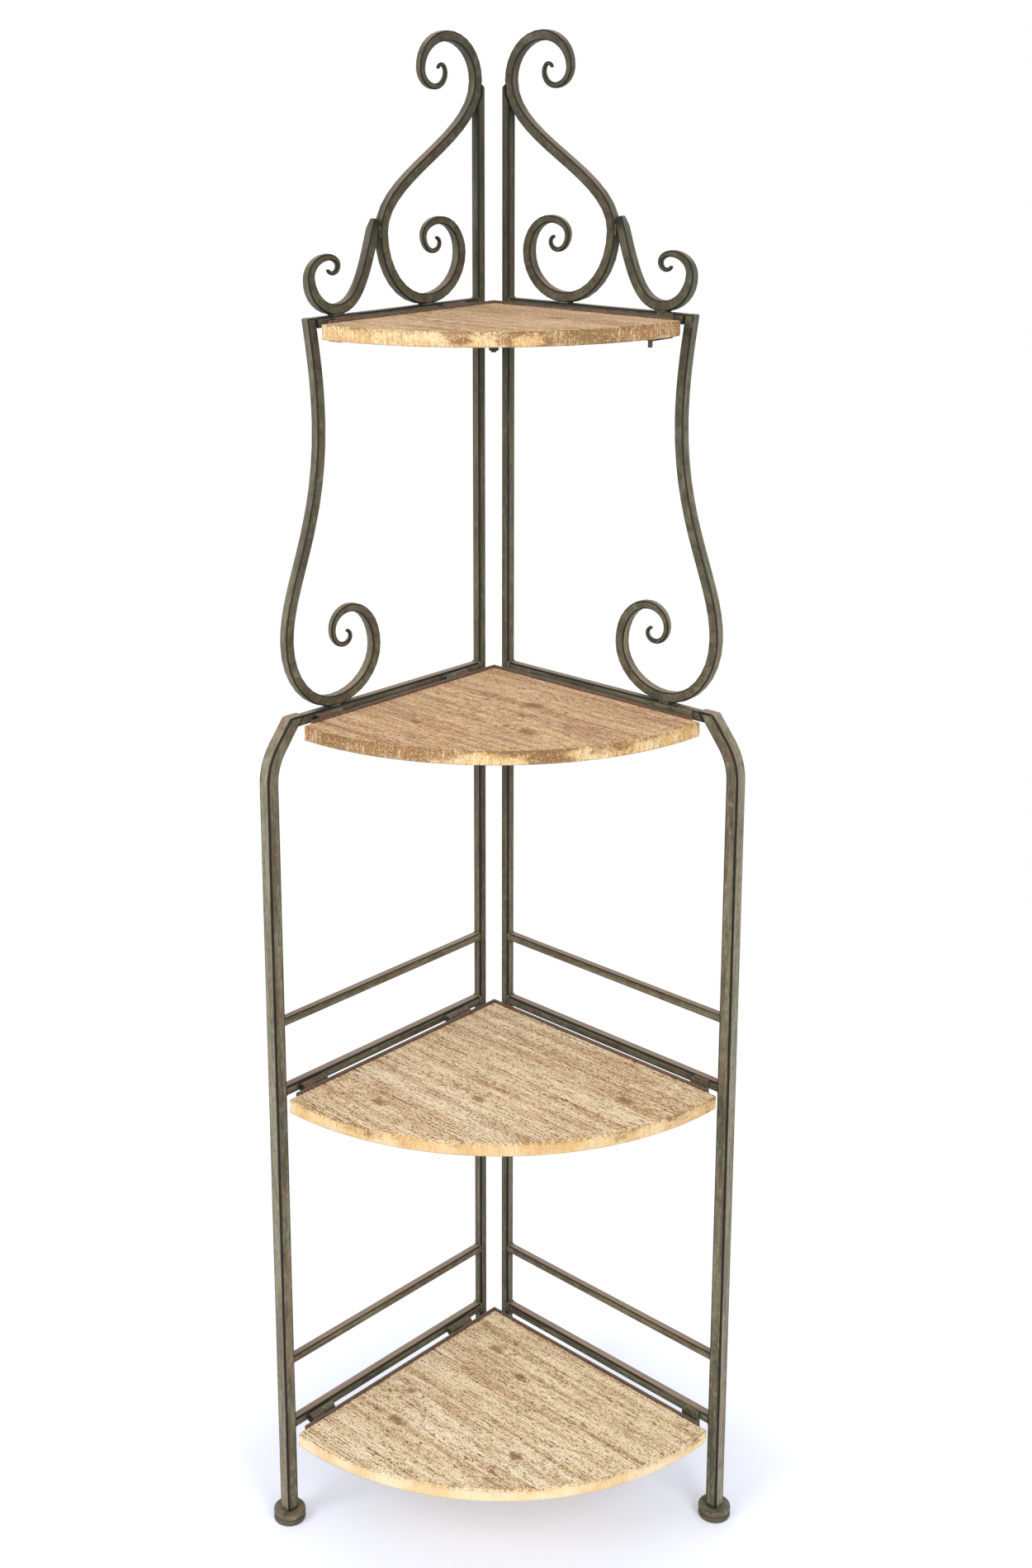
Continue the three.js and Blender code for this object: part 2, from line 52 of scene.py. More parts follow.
SHELVES = (1, 2, 3, 4)
WHITE = (1.0, 1.0, 1.0, 1.0)
LEFT_PLANE = sum((corner.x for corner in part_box("left_rear_post")), 0.0) / 2
RIGHT_PLANE = sum((corner.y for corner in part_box("right_rear_post")), 0.0) / 2


def corner_place(u, v, z):
    """A place given by its distances from the left frame's plane and the right frame's plane."""
    return Vector((LEFT_PLANE + u, RIGHT_PLANE - v, z))


# Camera, in the photograph's frame of 1250 by 1900 pixels
IMAGE_WIDTH = 1250
IMAGE_HEIGHT = 1900
FOCAL_PIXELS = 2427.5
AXIS_PIXEL_X = 492.5
AXIS_PIXEL_Y = 686.8
CAMERA_PLACE = corner_place(1.2457, 1.3459, 1.3254)
CAMERA_AZIMUTH = math.radians(45.33)
CAMERA_PITCH = math.radians(13.75)
CAMERA_ROLL = math.radians(-0.64)
SENSOR_WIDTH = 36.0
CLIP_START = 0.05


def add_camera():
    data = bpy.data.cameras.new("camera")
    data.sensor_width = SENSOR_WIDTH
    data.lens = FOCAL_PIXELS * SENSOR_WIDTH / IMAGE_HEIGHT
    data.shift_x = (IMAGE_WIDTH / 2 - AXIS_PIXEL_X) / IMAGE_HEIGHT
    data.shift_y = (AXIS_PIXEL_Y - IMAGE_HEIGHT / 2) / IMAGE_HEIGHT
    data.clip_start = CLIP_START
    camera = bpy.data.objects.new("camera", data)
    bpy.context.scene.collection.objects.link(camera)
    level = math.cos(CAMERA_PITCH)
    back = Vector((
        math.sin(CAMERA_AZIMUTH) * level,
        -math.cos(CAMERA_AZIMUTH) * level,
        math.sin(CAMERA_PITCH),
    ))
    side = Vector((math.cos(CAMERA_AZIMUTH), math.sin(CAMERA_AZIMUTH), 0.0))
    rise = back.cross(side)
    right = side * math.cos(CAMERA_ROLL) + rise * math.sin(CAMERA_ROLL)
    up = rise * math.cos(CAMERA_ROLL) - side * math.sin(CAMERA_ROLL)
    turn = Matrix((right, up, back)).transposed().to_4x4()
    camera.matrix_world = Matrix.Translation(CAMERA_PLACE) @ turn
    bpy.context.scene.camera = camera


add_camera()
bpy.context.scene.view_settings.view_transform = "Standard"


# Material building


def linear(hex_code):
    """A colour written as in a paint program, in the linear values that shaders take."""
    channels = [int(hex_code[at:at + 2], 16) / 255 for at in (0, 2, 4)]
    return [c / 12.92 if c <= 0.04045 else ((c + 0.055) / 1.055) ** 2.4 for c in channels] + [1.0]


# Sockets of a Mix node: where it takes two numbers, and where it takes two colours
MIX_NUMBERS = (2, 3)
MIX_COLOURS = (6, 7)
MIXED_COLOUR = 2


class Shader:
    """A material's node tree, with short calls for the nodes that the finishes share."""

    def __init__(self, name):
        self.material = bpy.data.materials.new(name)
        self.material.use_nodes = True
        self.tree = self.material.node_tree
        self.surface = self.tree.nodes["Principled BSDF"]
        self.place = self.node("ShaderNodeTexCoord").outputs["Object"]

    def node(self, kind, **settings):
        made = self.tree.nodes.new(kind)
        for key, value in settings.items():
            setattr(made, key, value)
        return made

    def put(self, value, socket):
        """Links a socket to a socket, or sets a plain value on it."""
        if isinstance(value, bpy.types.NodeSocket):
            self.tree.links.new(value, socket)
        else:
            socket.default_value = value

    def math(self, operation, *values, clamp=False):
        made = self.node("ShaderNodeMath", operation=operation, use_clamp=clamp)
        for value, socket in zip(values, made.inputs):
            self.put(value, socket)
        return made.outputs[0]

    def stretched(self, scale):
        mapping = self.node("ShaderNodeMapping")
        self.put(self.place, mapping.inputs["Vector"])
        mapping.inputs["Scale"].default_value = scale
        return mapping.outputs[0]

    def noise(self, scale=1.0, detail=3.0, roughness=0.55, stretch=None):
        made = self.node("ShaderNodeTexNoise")
        self.put(self.stretched(stretch) if stretch else self.place, made.inputs["Vector"])
        made.inputs["Scale"].default_value = scale
        made.inputs["Detail"].default_value = detail
        made.inputs["Roughness"].default_value = roughness
        return made.outputs[0]

    def ramp(self, value, low, high):
        """0 up to low and 1 from high on, or the other way round where low is the larger."""
        made = self.node("ShaderNodeMapRange", interpolation_type="SMOOTHSTEP")
        self.put(value, made.inputs["Value"])
        made.inputs["From Min"].default_value = low
        made.inputs["From Max"].default_value = high
        return made.outputs[0]

    def between(self, value, first, second):
        """Goes from the first number to the second while the value goes from 0 to 1."""
        return self.math("MULTIPLY_ADD", value, second - first, first)

    def blend(self, share, first, second):
        """Goes from the first number to the second, which both come from nodes."""
        made = self.node("ShaderNodeMix", data_type="FLOAT")
        self.put(share, made.inputs[0])
        for value, at in zip((first, second), MIX_NUMBERS):
            self.put(value, made.inputs[at])
        return made.outputs[0]

    def mix(self, share, first, second):
        """Goes from the first colour to the second, given as sockets or as written colours."""
        made = self.node("ShaderNodeMix", data_type="RGBA")
        self.put(share, made.inputs[0])
        for colour, at in zip((first, second), MIX_COLOURS):
            self.put(linear(colour) if isinstance(colour, str) else colour, made.inputs[at])
        return made.outputs[MIXED_COLOUR]

    def lay(self, body, colour, *shares):
        """Lays a colour on the body, by the product of the shares."""
        total = shares[0]
        for share in shares[1:]:
            total = self.math("MULTIPLY", total, share)
        return self.mix(total, body, colour)

    def attribute(self, name):
        return self.node("ShaderNodeAttribute", attribute_name=name).outputs["Fac"]

    def bump(self, height, distance, strength):
        made = self.node("ShaderNodeBump")
        made.inputs["Strength"].default_value = strength
        made.inputs["Distance"].default_value = distance
        self.put(height, made.inputs["Height"])
        self.tree.links.new(made.outputs[0], self.surface.inputs["Normal"])

    def finish(self, colour, roughness, specular):
        self.put(colour, self.surface.inputs["Base Color"])
        self.put(roughness, self.surface.inputs["Roughness"])
        self.surface.inputs["Specular IOR Level"].default_value = specular
        return self.material


def axis_parts(shader, vector):
    """The three parts of a direction or place along the axes."""
    parts = shader.node("ShaderNodeSeparateXYZ")
    shader.put(vector, parts.inputs[0])
    return parts.outputs


# Paint of the bars. A window gives the pattern's values at which a layer starts and is full, and
# a share says how strong it is there.

CLOUD = {"scale": 21.0, "detail": 4.0, "roughness": 0.6}
STREAK = {"scale": 210.0}
FACE_STREAK = {"scale": 120.0}
BAR_DRIFT = {"scale": 70.0, "detail": 4.0, "roughness": 0.6}
RIM_DRIFT = {"scale": 70.0}
FACE_DRIFT = {"scale": 60.0}
SPECK = {"scale": 620.0, "detail": 2.0, "roughness": 0.7}
MOTTLE = {"scale": 330.0, "detail": 4.0, "roughness": 0.65}
MOSS_PATCH = {"scale": 33.0}
RUST_PATCH = {"scale": 55.0}
# How fine a pattern is along a bar or along a scroll's rims, next to how fine it is across them
BAR_STRETCH = 0.06
RIM_STRETCH = 0.12
MOTTLE_STRETCH = 0.35
CURL_FACE_WINDOW = (0.3, 0.7)

OLIVE = ("6a664c", "8c8669")
BROWN = ("6d5845", "8f7b64")
STREAK_WINDOW = (0.38, 0.62)
BROWN_WINDOW = (0.42, 0.64)
BROWN_LEAN = 0.3
MOSS_AND_UNDERSIDE_SHADE = "51604c"
MOSS_WINDOW = (0.54, 0.72)
MOSS_AND_SHADE_SHARE = 0.5
# Painted shade on the faces that look down, laid in the moss colour
UNDERSIDE_SHADE_WINDOW = (-0.45, -0.9)
UNDERSIDE_SHADE_SHARE = 0.5
RUST = "75503f"
RUST_WINDOW = (0.58, 0.74)
RUST_SHARE = 0.35
SOOT = "4a4334"
SOOT_WINDOW = (0.52, 0.7)
SOOT_SHARE = 0.3
# Painted light on the faces along the frame
PAINTED_SIDE_LIGHT = "d8d2b8"
# Near black, laid as painted shade and as a glaze that comes and goes along the drift
GLAZE_AND_SHADE = "2b2a20"
FACE_WINDOW = (0.6, 0.8)
# How strong the painted shade is on the faces across the frame
FACE_SHADE_STRENGTH = 1.4
DARK_MOTTLE = "343a2b"
DARK_MOTTLE_WINDOW = (0.53, 0.66)
DARK_MOTTLE_SHARE = 0.45
LIGHT_MOTTLE = "aaa48c"
LIGHT_MOTTLE_WINDOW = (0.46, 0.34)
LIGHT_MOTTLE_SHARE = 0.4
# The painted shade grows between these heights, towards the top of the unit
SHADE_HEIGHTS = (0.75, 1.35)
SHADE_GROWTH = 0.28
GLAZE_DRIFT = 0.25
# Painted light: lighter pinkish tones on the faces that look up
TOP_LIGHT_TONES = ("8f7763", "b89f8b")
TOP_LIGHT_WINDOW = (0.55, 0.9)
TOP_LIGHT_SHARE = 0.75
CURL_TOP_LIGHT_SHARE = 0.5
# Painted shade in the hollows and where parts meet, tinted teal, from the occlusion within a short
# reach
HOLLOW_SHADE = "2f4438"
HOLLOW_SHADE_WINDOW = (0.85, 0.45)
HOLLOW_SHADE_SHARE = 0.6
HOLLOW_REACH = 9 * MM
HOLLOW_SAMPLES = 6
# A near-black line on the rounded edges: partly a dark finish, partly painted shade
EDGE = "191810"
EDGE_WINDOW = (0.1, 0.5)
EDGE_WEAR = (0.22, 0.38)
PAINT_RELIEF = 0.25 * MM
PAINT_RELIEF_STRENGTH = 0.4
STREAK_RELIEF = 1.5
PAINT_ROUGHNESS = (0.42, 0.67)
PAINT_GLOSS = 0.2


def edge_mask(shader, across, reach):
    """1 on the rounded long edges of a bar, from how far its surface looks across the frame. A
    larger reach starts it further from the middle of the edge."""
    square = shader.math("MULTIPLY", across, across)
    along = shader.math("SQRT", shader.math("SUBTRACT", 1.0, square, clamp=True))
    turned = shader.math("MULTIPLY", shader.math("MULTIPLY", across, along), 2.0 * reach)
    return shader.ramp(turned, *EDGE_WINDOW)


def paint_patterns(shader, across, axis, run):
    """Streaks, their slower drift, and a mottle, drawn out along the bars. A scroll's streaks are
    drawn out on its rims, and plain on its two faces."""
    if run is None:
        stretch = [RIM_STRETCH] * 3
        stretch[axis] = 1.0
        face = shader.ramp(across, *CURL_FACE_WINDOW)
        rim_streak = shader.noise(**STREAK, stretch=stretch)
        rim_drift = shader.noise(**RIM_DRIFT, stretch=stretch)
        streak = shader.blend(face, rim_streak, shader.noise(**FACE_STREAK))
        drift = shader.blend(face, rim_drift, shader.noise(**FACE_DRIFT))
    else:
        stretch = [1.0] * 3
        stretch[run] = BAR_STRETCH
        streak = shader.noise(**STREAK, stretch=stretch)
        drift = shader.noise(**BAR_DRIFT, stretch=stretch)
    stretch = [max(share, MOTTLE_STRETCH) for share in stretch]
    return streak, drift, shader.noise(**MOTTLE, stretch=stretch)


def paint_material(name, axis, run, form_shade, reach, darkness, face_shade):
    """Olive-grey paint streaked with brown along the bars, near black on the edges, pinkish brown
    on top and green below. The near-black edges are partly a dark finish and partly painted
    shade, the pinkish brown on top is painted light, and the green below is painted shade. axis
    is the one across the frame, and run the one that the bars lie along, or None for scrolls.
    form_shade is the share of a dark painted shade, which grows towards the top of the unit.
    reach is how far the dark edges come in, and zero on fittings, which have none; darkness is
    their share. face_shade is how much darker the faces that look across the frame are painted
    than the bars' other sides, which are painted lighter: painted shade and painted light."""
    shader = Shader(name)
    direction = axis_parts(shader, shader.node("ShaderNodeTexCoord").outputs["Normal"])
    across = shader.math("ABSOLUTE", direction[axis])
    streak, drift, mottle = paint_patterns(shader, across, axis, run)
    speck = shader.noise(**SPECK)

    light_streak = shader.ramp(streak, *STREAK_WINDOW)
    lean = shader.between(drift, -BROWN_LEAN, BROWN_LEAN)
    brown_share = shader.ramp(shader.math("ADD", shader.noise(**CLOUD), lean), *BROWN_WINDOW)
    body = shader.mix(brown_share, shader.mix(light_streak, *OLIVE), shader.mix(light_streak, *BROWN))
    # Painted shade on the faces that look down, in the moss green, added to the moss patches
    below = shader.math("MULTIPLY", shader.ramp(direction[2], *UNDERSIDE_SHADE_WINDOW), UNDERSIDE_SHADE_SHARE)
    moss_and_shade = shader.math("ADD", below, shader.ramp(shader.noise(**MOSS_PATCH), *MOSS_WINDOW))
    body = shader.lay(body, MOSS_AND_UNDERSIDE_SHADE, moss_and_shade, MOSS_AND_SHADE_SHARE)
    body = shader.lay(body, RUST, shader.ramp(shader.noise(**RUST_PATCH), *RUST_WINDOW), RUST_SHARE)
    body = shader.lay(body, SOOT, shader.ramp(speck, *SOOT_WINDOW), SOOT_SHARE)
    # Painted light and shade: the faces along the frame are laid lighter and those across it darker, as
    # lit and shaded sides of the one paint
    face = shader.ramp(across, *FACE_WINDOW)
    body = shader.lay(body, PAINTED_SIDE_LIGHT, shader.between(face, face_shade, 0.0))
    body = shader.lay(body, GLAZE_AND_SHADE, face, FACE_SHADE_STRENGTH * face_shade)
    body = shader.lay(body, DARK_MOTTLE, shader.ramp(mottle, *DARK_MOTTLE_WINDOW), DARK_MOTTLE_SHARE)
    body = shader.lay(body, LIGHT_MOTTLE, shader.ramp(mottle, *LIGHT_MOTTLE_WINDOW), LIGHT_MOTTLE_SHARE)

    # Painted shade, stronger on some forms and growing towards the top of the unit, with a dark glaze
    # that comes and goes along the drift
    height = axis_parts(shader, shader.place)[2]
    painted_shade_share = shader.between(shader.ramp(height, *SHADE_HEIGHTS), form_shade, form_shade + SHADE_GROWTH)
    uneven = shader.between(drift, -GLAZE_DRIFT, GLAZE_DRIFT)
    body = shader.lay(body, GLAZE_AND_SHADE, shader.math("ADD", painted_shade_share, uneven, clamp=True))
    if reach:
        # Painted light on the faces that look up, in lighter pinkish tones
        top_light_share = CURL_TOP_LIGHT_SHARE if run is None else TOP_LIGHT_SHARE
        top = shader.ramp(direction[2], *TOP_LIGHT_WINDOW)
        body = shader.lay(body, shader.mix(streak, *TOP_LIGHT_TONES), top, top_light_share)
    # Painted shade in the hollows and where parts meet, tinted teal
    occlusion = shader.node("ShaderNodeAmbientOcclusion", samples=HOLLOW_SAMPLES)
    occlusion.inputs["Distance"].default_value = HOLLOW_REACH
    hollow_shade = shader.ramp(occlusion.outputs["AO"], *HOLLOW_SHADE_WINDOW)
    body = shader.lay(body, HOLLOW_SHADE, hollow_shade, HOLLOW_SHADE_SHARE)
    if reach:
        # A near-black line along the rounded edges, broken along the drift: partly a dark finish,
        # partly painted shade
        kept = shader.ramp(drift, *EDGE_WEAR)
        body = shader.lay(body, EDGE, edge_mask(shader, across, reach), kept, darkness)
    relief = shader.math("ADD", speck, shader.math("MULTIPLY", streak, STREAK_RELIEF))
    shader.bump(relief, PAINT_RELIEF, PAINT_RELIEF_STRENGTH)
    return shader.finish(body, shader.between(speck, *PAINT_ROUGHNESS), PAINT_GLOSS)


# Edging, foot pads and steel: a cloud of two tones, with flecks of a third on the painted ones

PAINT_GRIT = {"scale": 600.0, "detail": 2.0, "roughness": 0.7}
PLAIN_PAINT = {"grit": PAINT_GRIT, "relief": 0.2 * MM, "roughness": (0.36, 0.66), "gloss": 0.35}
EDGING_LOOKS = {
    "cloud": {"scale": 45.0, "detail": 4.0, "roughness": 0.6},
    "window": (0.4, 0.6),
    "tones": ("55493c", "664539"),
    "fleck": "7c6655",
    "fleck_window": (0.45, 0.7),
}
PAD_LOOKS = {
    "cloud": {"scale": 80.0},
    "window": (0.4, 0.6),
    "tones": ("434838", "57513f"),
    "fleck": "73624e",
    "fleck_window": (0.5, 0.72),
}
STEEL_LOOKS = {
    "cloud": {"scale": 180.0},
    "window": (0.4, 0.62),
    "tones": ("24211d", "403830"),
    "grit": {"scale": 900.0, "detail": 2.0, "roughness": 0.7},
    "relief": 0.15 * MM,
    "roughness": (0.32, 0.57),
    "gloss": 0.5,
    "metallic": 0.6,
}
GRIT_STRENGTH = 0.5


def cloudy_material(name, looks):
    shader = Shader(name)
    grit = shader.noise(**looks["grit"])
    cloud = shader.ramp(shader.noise(**looks["cloud"]), *looks["window"])
    body = shader.mix(cloud, *looks["tones"])
    if "fleck" in looks:
        body = shader.lay(body, looks["fleck"], shader.ramp(grit, *looks["fleck_window"]))
    shader.bump(grit, looks["relief"], GRIT_STRENGTH)
    shader.surface.inputs["Metallic"].default_value = looks.get("metallic", 0.0)
    return shader.finish(body, shader.between(grit, *looks["roughness"]), looks["gloss"])


# Wood of the boards. A stretch's first number is the fineness along the grain. Of a pair of
# shares the first is for a cream board and the second for a tan one, while a range goes from
# where another pattern is absent to where it is full.

WOOD_VALUES = ("grain", "knot", "stave", "tan", "gold", "stain", "rise", "side")
WOOD_PATTERNS = {
    "band": {"roughness": 0.65, "stretch": (7.0, 95.0, 60.0)},
    "fibre": {"detail": 2.0, "roughness": 0.65, "stretch": (45.0, 620.0, 600.0)},
    "speckle": {"detail": 1.0, "roughness": 0.5, "stretch": (430.0, 1050.0, 900.0)},
    "patch": {"roughness": 0.6, "stretch": (9.0, 26.0, 20.0)},
    "sawn": {"roughness": 0.65, "stretch": (700.0, 700.0, 60.0)},
    "region": {"stretch": (30.0, 30.0, 30.0)},
    "stains": {"detail": 4.0, "roughness": 0.65, "stretch": (26.0, 26.0, 60.0)},
    "grit": {"scale": 620.0, "detail": 2.0, "roughness": 0.7},
    "crumb": {"scale": 330.0, "detail": 2.0, "roughness": 0.6},
}
EVEN_WINDOW = (0.4, 0.6)

BAND_WINDOW = (0.38, 0.7)
STAVE_SHARE = 0.5
PALE_STAVES = ("ffedc9", "f4dab0")
CREAM_BAND = "e3c295"
AGED_BANDS = ("eec798", "d2a176")
WARM_TINTS = ("d6ae84", "cf9f82")
COOL_TINT = "d0b882"
TINT_RANGE = (0.03, 0.33)
RIDGE = "ffecc8"
RIDGE_WINDOW = (0.55, 0.85)
RIDGE_SHARES = (0.65, 0.5)
FIBRE = "a8804f"
FIBRE_WINDOW = (0.5, 0.6)
FIBRE_SHARE = 0.28
SPECKLE_RANGE = (0.6, 0.52)
SPECKLES = ("8a6538", "835840")
SPECKLE_SHARES = (0.72, 0.62)
LINE = "6f4e29"
LINE_WINDOW = (0.43, 0.15)
LINE_SHARE = 0.8
DOT_WINDOW = (0.42, 0.54)
DOT_RANGE = (0.15, 1.0)
KNOT = "8a6038"
KNOT_SHARE = 0.75

PALE_EDGE = ("ffeac2", "fadba9")
GOLD_EDGE = ("edcb92", "d9ac6c")
STAINS = ("94602f", "7c5935")
STAIN_WINDOW = (0.94, 1.08)
STAIN_SHARE = 0.85
STAIN_SAWN = 0.3
STAIN_RISE = 0.14
STAIN_REACH = 0.5
CUT = "fdeecb"
CUT_WINDOW = (0.53, 0.62)
CUT_SHARES = (0.1, 0.5)
CUT_REGION = (0.6, 0.4)
SAW_LINE = "94693a"
SAW_LINE_WINDOW = (0.48, 0.36)
SAW_LINE_SHARES = (0.12, 0.52)
DARK_GRIT = "8a6336"
DARK_GRIT_WINDOW = (0.52, 0.66)
DARK_GRIT_SHARES = (0.12, 0.47)
BRIGHT_GRIT = "fff3d4"
BRIGHT_GRIT_WINDOW = (0.46, 0.34)
BRIGHT_GRIT_SHARES = (0.12, 0.42)
CRUMB = "7d5934"
CRUMB_WINDOW = (0.5, 0.58)
CRUMB_RISE = (0.66, 0.95)
CRUMB_SHARE = 0.6
SPILL_RISE = (0.55, 1.0)
SPILL_SHARE = 0.5
LOW_SHADE = "6e5e50"
LOW_SHADE_RISE = (0.08, 0.0)
LOW_SHADE_SHARE = 0.5
WOOD_RELIEF = 0.35 * MM
WOOD_RELIEF_STRENGTH = 0.4
SPECKLE_RELIEF = 1.2
WOOD_ROUGHNESS = 0.75
WOOD_GLOSS = 0.2


def board_face(shader, given, pattern, specks, speck_colour, dark_band):
    """Cream to tan bands along the grain, with specks, dotted lines and knots."""
    tan = given["tan"]
    pale = shader.mix(shader.math("MULTIPLY", given["stave"], STAVE_SHARE), *PALE_STAVES)
    cream = shader.mix(dark_band, pale, CREAM_BAND)
    body = shader.mix(tan, cream, shader.mix(dark_band, *AGED_BANDS))
    patch = shader.ramp(pattern["patch"], *EVEN_WINDOW)
    tint = shader.mix(patch, COOL_TINT, shader.mix(tan, *WARM_TINTS))
    body = shader.lay(body, tint, shader.between(dark_band, *TINT_RANGE))
    ridge = shader.ramp(given["grain"], *RIDGE_WINDOW)
    body = shader.lay(body, RIDGE, ridge, shader.between(tan, *RIDGE_SHARES))
    body = shader.lay(body, FIBRE, shader.ramp(pattern["fibre"], *FIBRE_WINDOW), FIBRE_SHARE)
    body = shader.lay(body, speck_colour, specks, shader.between(tan, *SPECKLE_SHARES))
    dots = shader.between(shader.ramp(pattern["speckle"], *DOT_WINDOW), *DOT_RANGE)
    body = shader.lay(body, LINE, shader.ramp(given["grain"], *LINE_WINDOW), dots, LINE_SHARE)
    return shader.lay(body, KNOT, given["knot"], KNOT_SHARE)


def board_edge(shader, given, pattern, specks, speck_colour):
    """A sawn edge, cream to golden, with brown stains, that crumbles at the top."""
    tan, rise = given["tan"], given["rise"]
    sawn, grit = pattern["sawn"], pattern["grit"]
    region = shader.ramp(pattern["region"], *EVEN_WINDOW)
    body = shader.mix(given["gold"], shader.mix(region, *PALE_EDGE), shader.mix(region, *GOLD_EDGE))
    level = shader.math("MULTIPLY_ADD", sawn, STAIN_SAWN, pattern["stains"])
    level = shader.math("MULTIPLY_ADD", rise, STAIN_RISE, level)
    level = shader.math("MULTIPLY_ADD", given["stain"], STAIN_REACH, level)
    stain = shader.mix(region, *STAINS)
    body = shader.lay(body, stain, shader.ramp(level, *STAIN_WINDOW), STAIN_SHARE)
    cut_share = shader.between(tan, *CUT_SHARES)
    cut_region = shader.ramp(pattern["region"], *CUT_REGION)
    body = shader.lay(body, CUT, shader.ramp(sawn, *CUT_WINDOW), cut_share, cut_region)
    for colour, value, window, shares in (
        (SAW_LINE, sawn, SAW_LINE_WINDOW, SAW_LINE_SHARES),
        (DARK_GRIT, grit, DARK_GRIT_WINDOW, DARK_GRIT_SHARES),
        (BRIGHT_GRIT, grit, BRIGHT_GRIT_WINDOW, BRIGHT_GRIT_SHARES),
    ):
        body = shader.lay(body, colour, shader.ramp(value, *window), shader.between(tan, *shares))
    crumbs = shader.ramp(pattern["crumb"], *CRUMB_WINDOW)
    body = shader.lay(body, CRUMB, crumbs, shader.ramp(rise, *CRUMB_RISE), CRUMB_SHARE)
    body = shader.lay(body, speck_colour, specks, shader.ramp(rise, *SPILL_RISE), SPILL_SHARE)
    return shader.lay(body, LOW_SHADE, shader.ramp(rise, *LOW_SHADE_RISE), LOW_SHADE_SHARE)


def wood_material():
    """Limed, wire-brushed pine. It reads the values that each board's points carry."""
    shader = Shader("limed_pine")
    given = {name: shader.attribute(name) for name in WOOD_VALUES}
    pattern = {name: shader.noise(**settings) for name, settings in WOOD_PATTERNS.items()}
    dark_band = shader.ramp(pattern["band"], *BAND_WINDOW)
    level = shader.between(dark_band, *SPECKLE_RANGE)
    specks = shader.math("GREATER_THAN", pattern["speckle"], level)
    speck_colour = shader.mix(shader.ramp(pattern["patch"], *EVEN_WINDOW), *SPECKLES)
    face = board_face(shader, given, pattern, specks, speck_colour, dark_band)
    edge = board_edge(shader, given, pattern, specks, speck_colour)
    height = shader.math("MULTIPLY", pattern["speckle"], SPECKLE_RELIEF)
    height = shader.math("ADD", pattern["fibre"], height)
    shader.bump(height, WOOD_RELIEF, WOOD_RELIEF_STRENGTH)
    return shader.finish(shader.mix(given["side"], face, edge), WOOD_ROUGHNESS, WOOD_GLOSS)


# For each frame: the axis across it and the axis its rails lie along
PAINT_AXES = {"left": (0, 1), "right": (1, 0)}
# For each form: whether it stands, lies or curls, the share of its painted shade, how far in its dark
# edges come, how dark they are, and how much darker the faces across the frame are painted
PAINT_FORMS = {
    "leg": ("stands", 0.06, 1.3, 0.97, 0.12),
    "post": ("stands", 0.42, 2.1, 0.97, 0.05),
    "rail": ("lies", 0.24, 1.8, 0.95, 0.07),
    "scroll": ("curls", 0.34, 2.0, 0.9, 0.1),
    "fitting": ("curls", 0.3, 0.0, 0.0, 0.0),
}
PAINT = {}
for frame_side, (across_axis, rail_axis) in PAINT_AXES.items():
    runs = {"stands": 2, "lies": rail_axis, "curls": None}
    for form, (pose, *finish) in PAINT_FORMS.items():
        name = f"paint_{frame_side}_{form}"
        PAINT[frame_side, form] = paint_material(name, across_axis, runs[pose], *finish)
EDGING = cloudy_material("edging_paint", {**PLAIN_PAINT, **EDGING_LOOKS})
STEEL = cloudy_material("dark_steel", STEEL_LOOKS)
PAD = cloudy_material("foot_pad_paint", {**PLAIN_PAINT, **PAD_LOOKS})
WOOD = wood_material()


# Solids carried over from the CAD: rounded edges, smooth curves and finishes

SCROLL_ROUNDING = 1.3 * MM
BAR_ROUNDING = 1.7 * MM
LEG_ROUNDING = 1.9 * MM
GUARD_ROUNDING = 1.0 * MM
SHEET_ROUNDING = 0.5 * MM
SMALL_ROUNDING = 0.3 * MM
BAR_SEGMENTS = 3
SMALL_SEGMENTS = 2
SMOOTH_ANGLE = math.radians(35)
# On a rear post only the bar's square edges are rounded
SQUARE_ANGLE = math.radians(50)
FLAT_ANGLE = math.radians(0.5)
SAME_PLACE = 0.01 * MM


def round_over(node, width, segments, clamped, least_angle):
    weld = node.modifiers.new("merge", "WELD")
    weld.merge_threshold = SAME_PLACE
    flat = node.modifiers.new("flat_faces", "DECIMATE")
    flat.decimate_type = "DISSOLVE"
    flat.angle_limit = FLAT_ANGLE
    bevel = node.modifiers.new("rounding", "BEVEL")
    bevel.width = width
    bevel.segments = segments
    bevel.limit_method = "ANGLE"
    bevel.angle_limit = least_angle
    bevel.use_clamp_overlap = clamped
    bevel.harden_normals = True


def smooth_group():
    """Nodes that shade faces smooth, apart from the edges sharper than the set angle."""
    group = bpy.data.node_groups.new("smooth_by_angle", "GeometryNodeTree")
    group.interface.new_socket("Geometry", in_out="INPUT", socket_type="NodeSocketGeometry")
    group.interface.new_socket("Geometry", in_out="OUTPUT", socket_type="NodeSocketGeometry")
    entry = group.nodes.new("NodeGroupInput")
    leave = group.nodes.new("NodeGroupOutput")
    faces = group.nodes.new("GeometryNodeSetShadeSmooth")
    faces.domain = "FACE"
    edges = group.nodes.new("GeometryNodeSetShadeSmooth")
    edges.domain = "EDGE"
    angle = group.nodes.new("GeometryNodeInputMeshEdgeAngle")
    compare = group.nodes.new("FunctionNodeCompare")
    compare.operation = "LESS_THAN"
    compare.inputs["B"].default_value = SMOOTH_ANGLE
    link = group.links.new
    link(entry.outputs[0], faces.inputs["Geometry"])
    link(faces.outputs[0], edges.inputs["Geometry"])
    link(angle.outputs["Unsigned Angle"], compare.inputs["A"])
    link(compare.outputs[0], edges.inputs["Shade Smooth"])
    link(edges.outputs[0], leave.inputs[0])
    return group


SMOOTH = smooth_group()


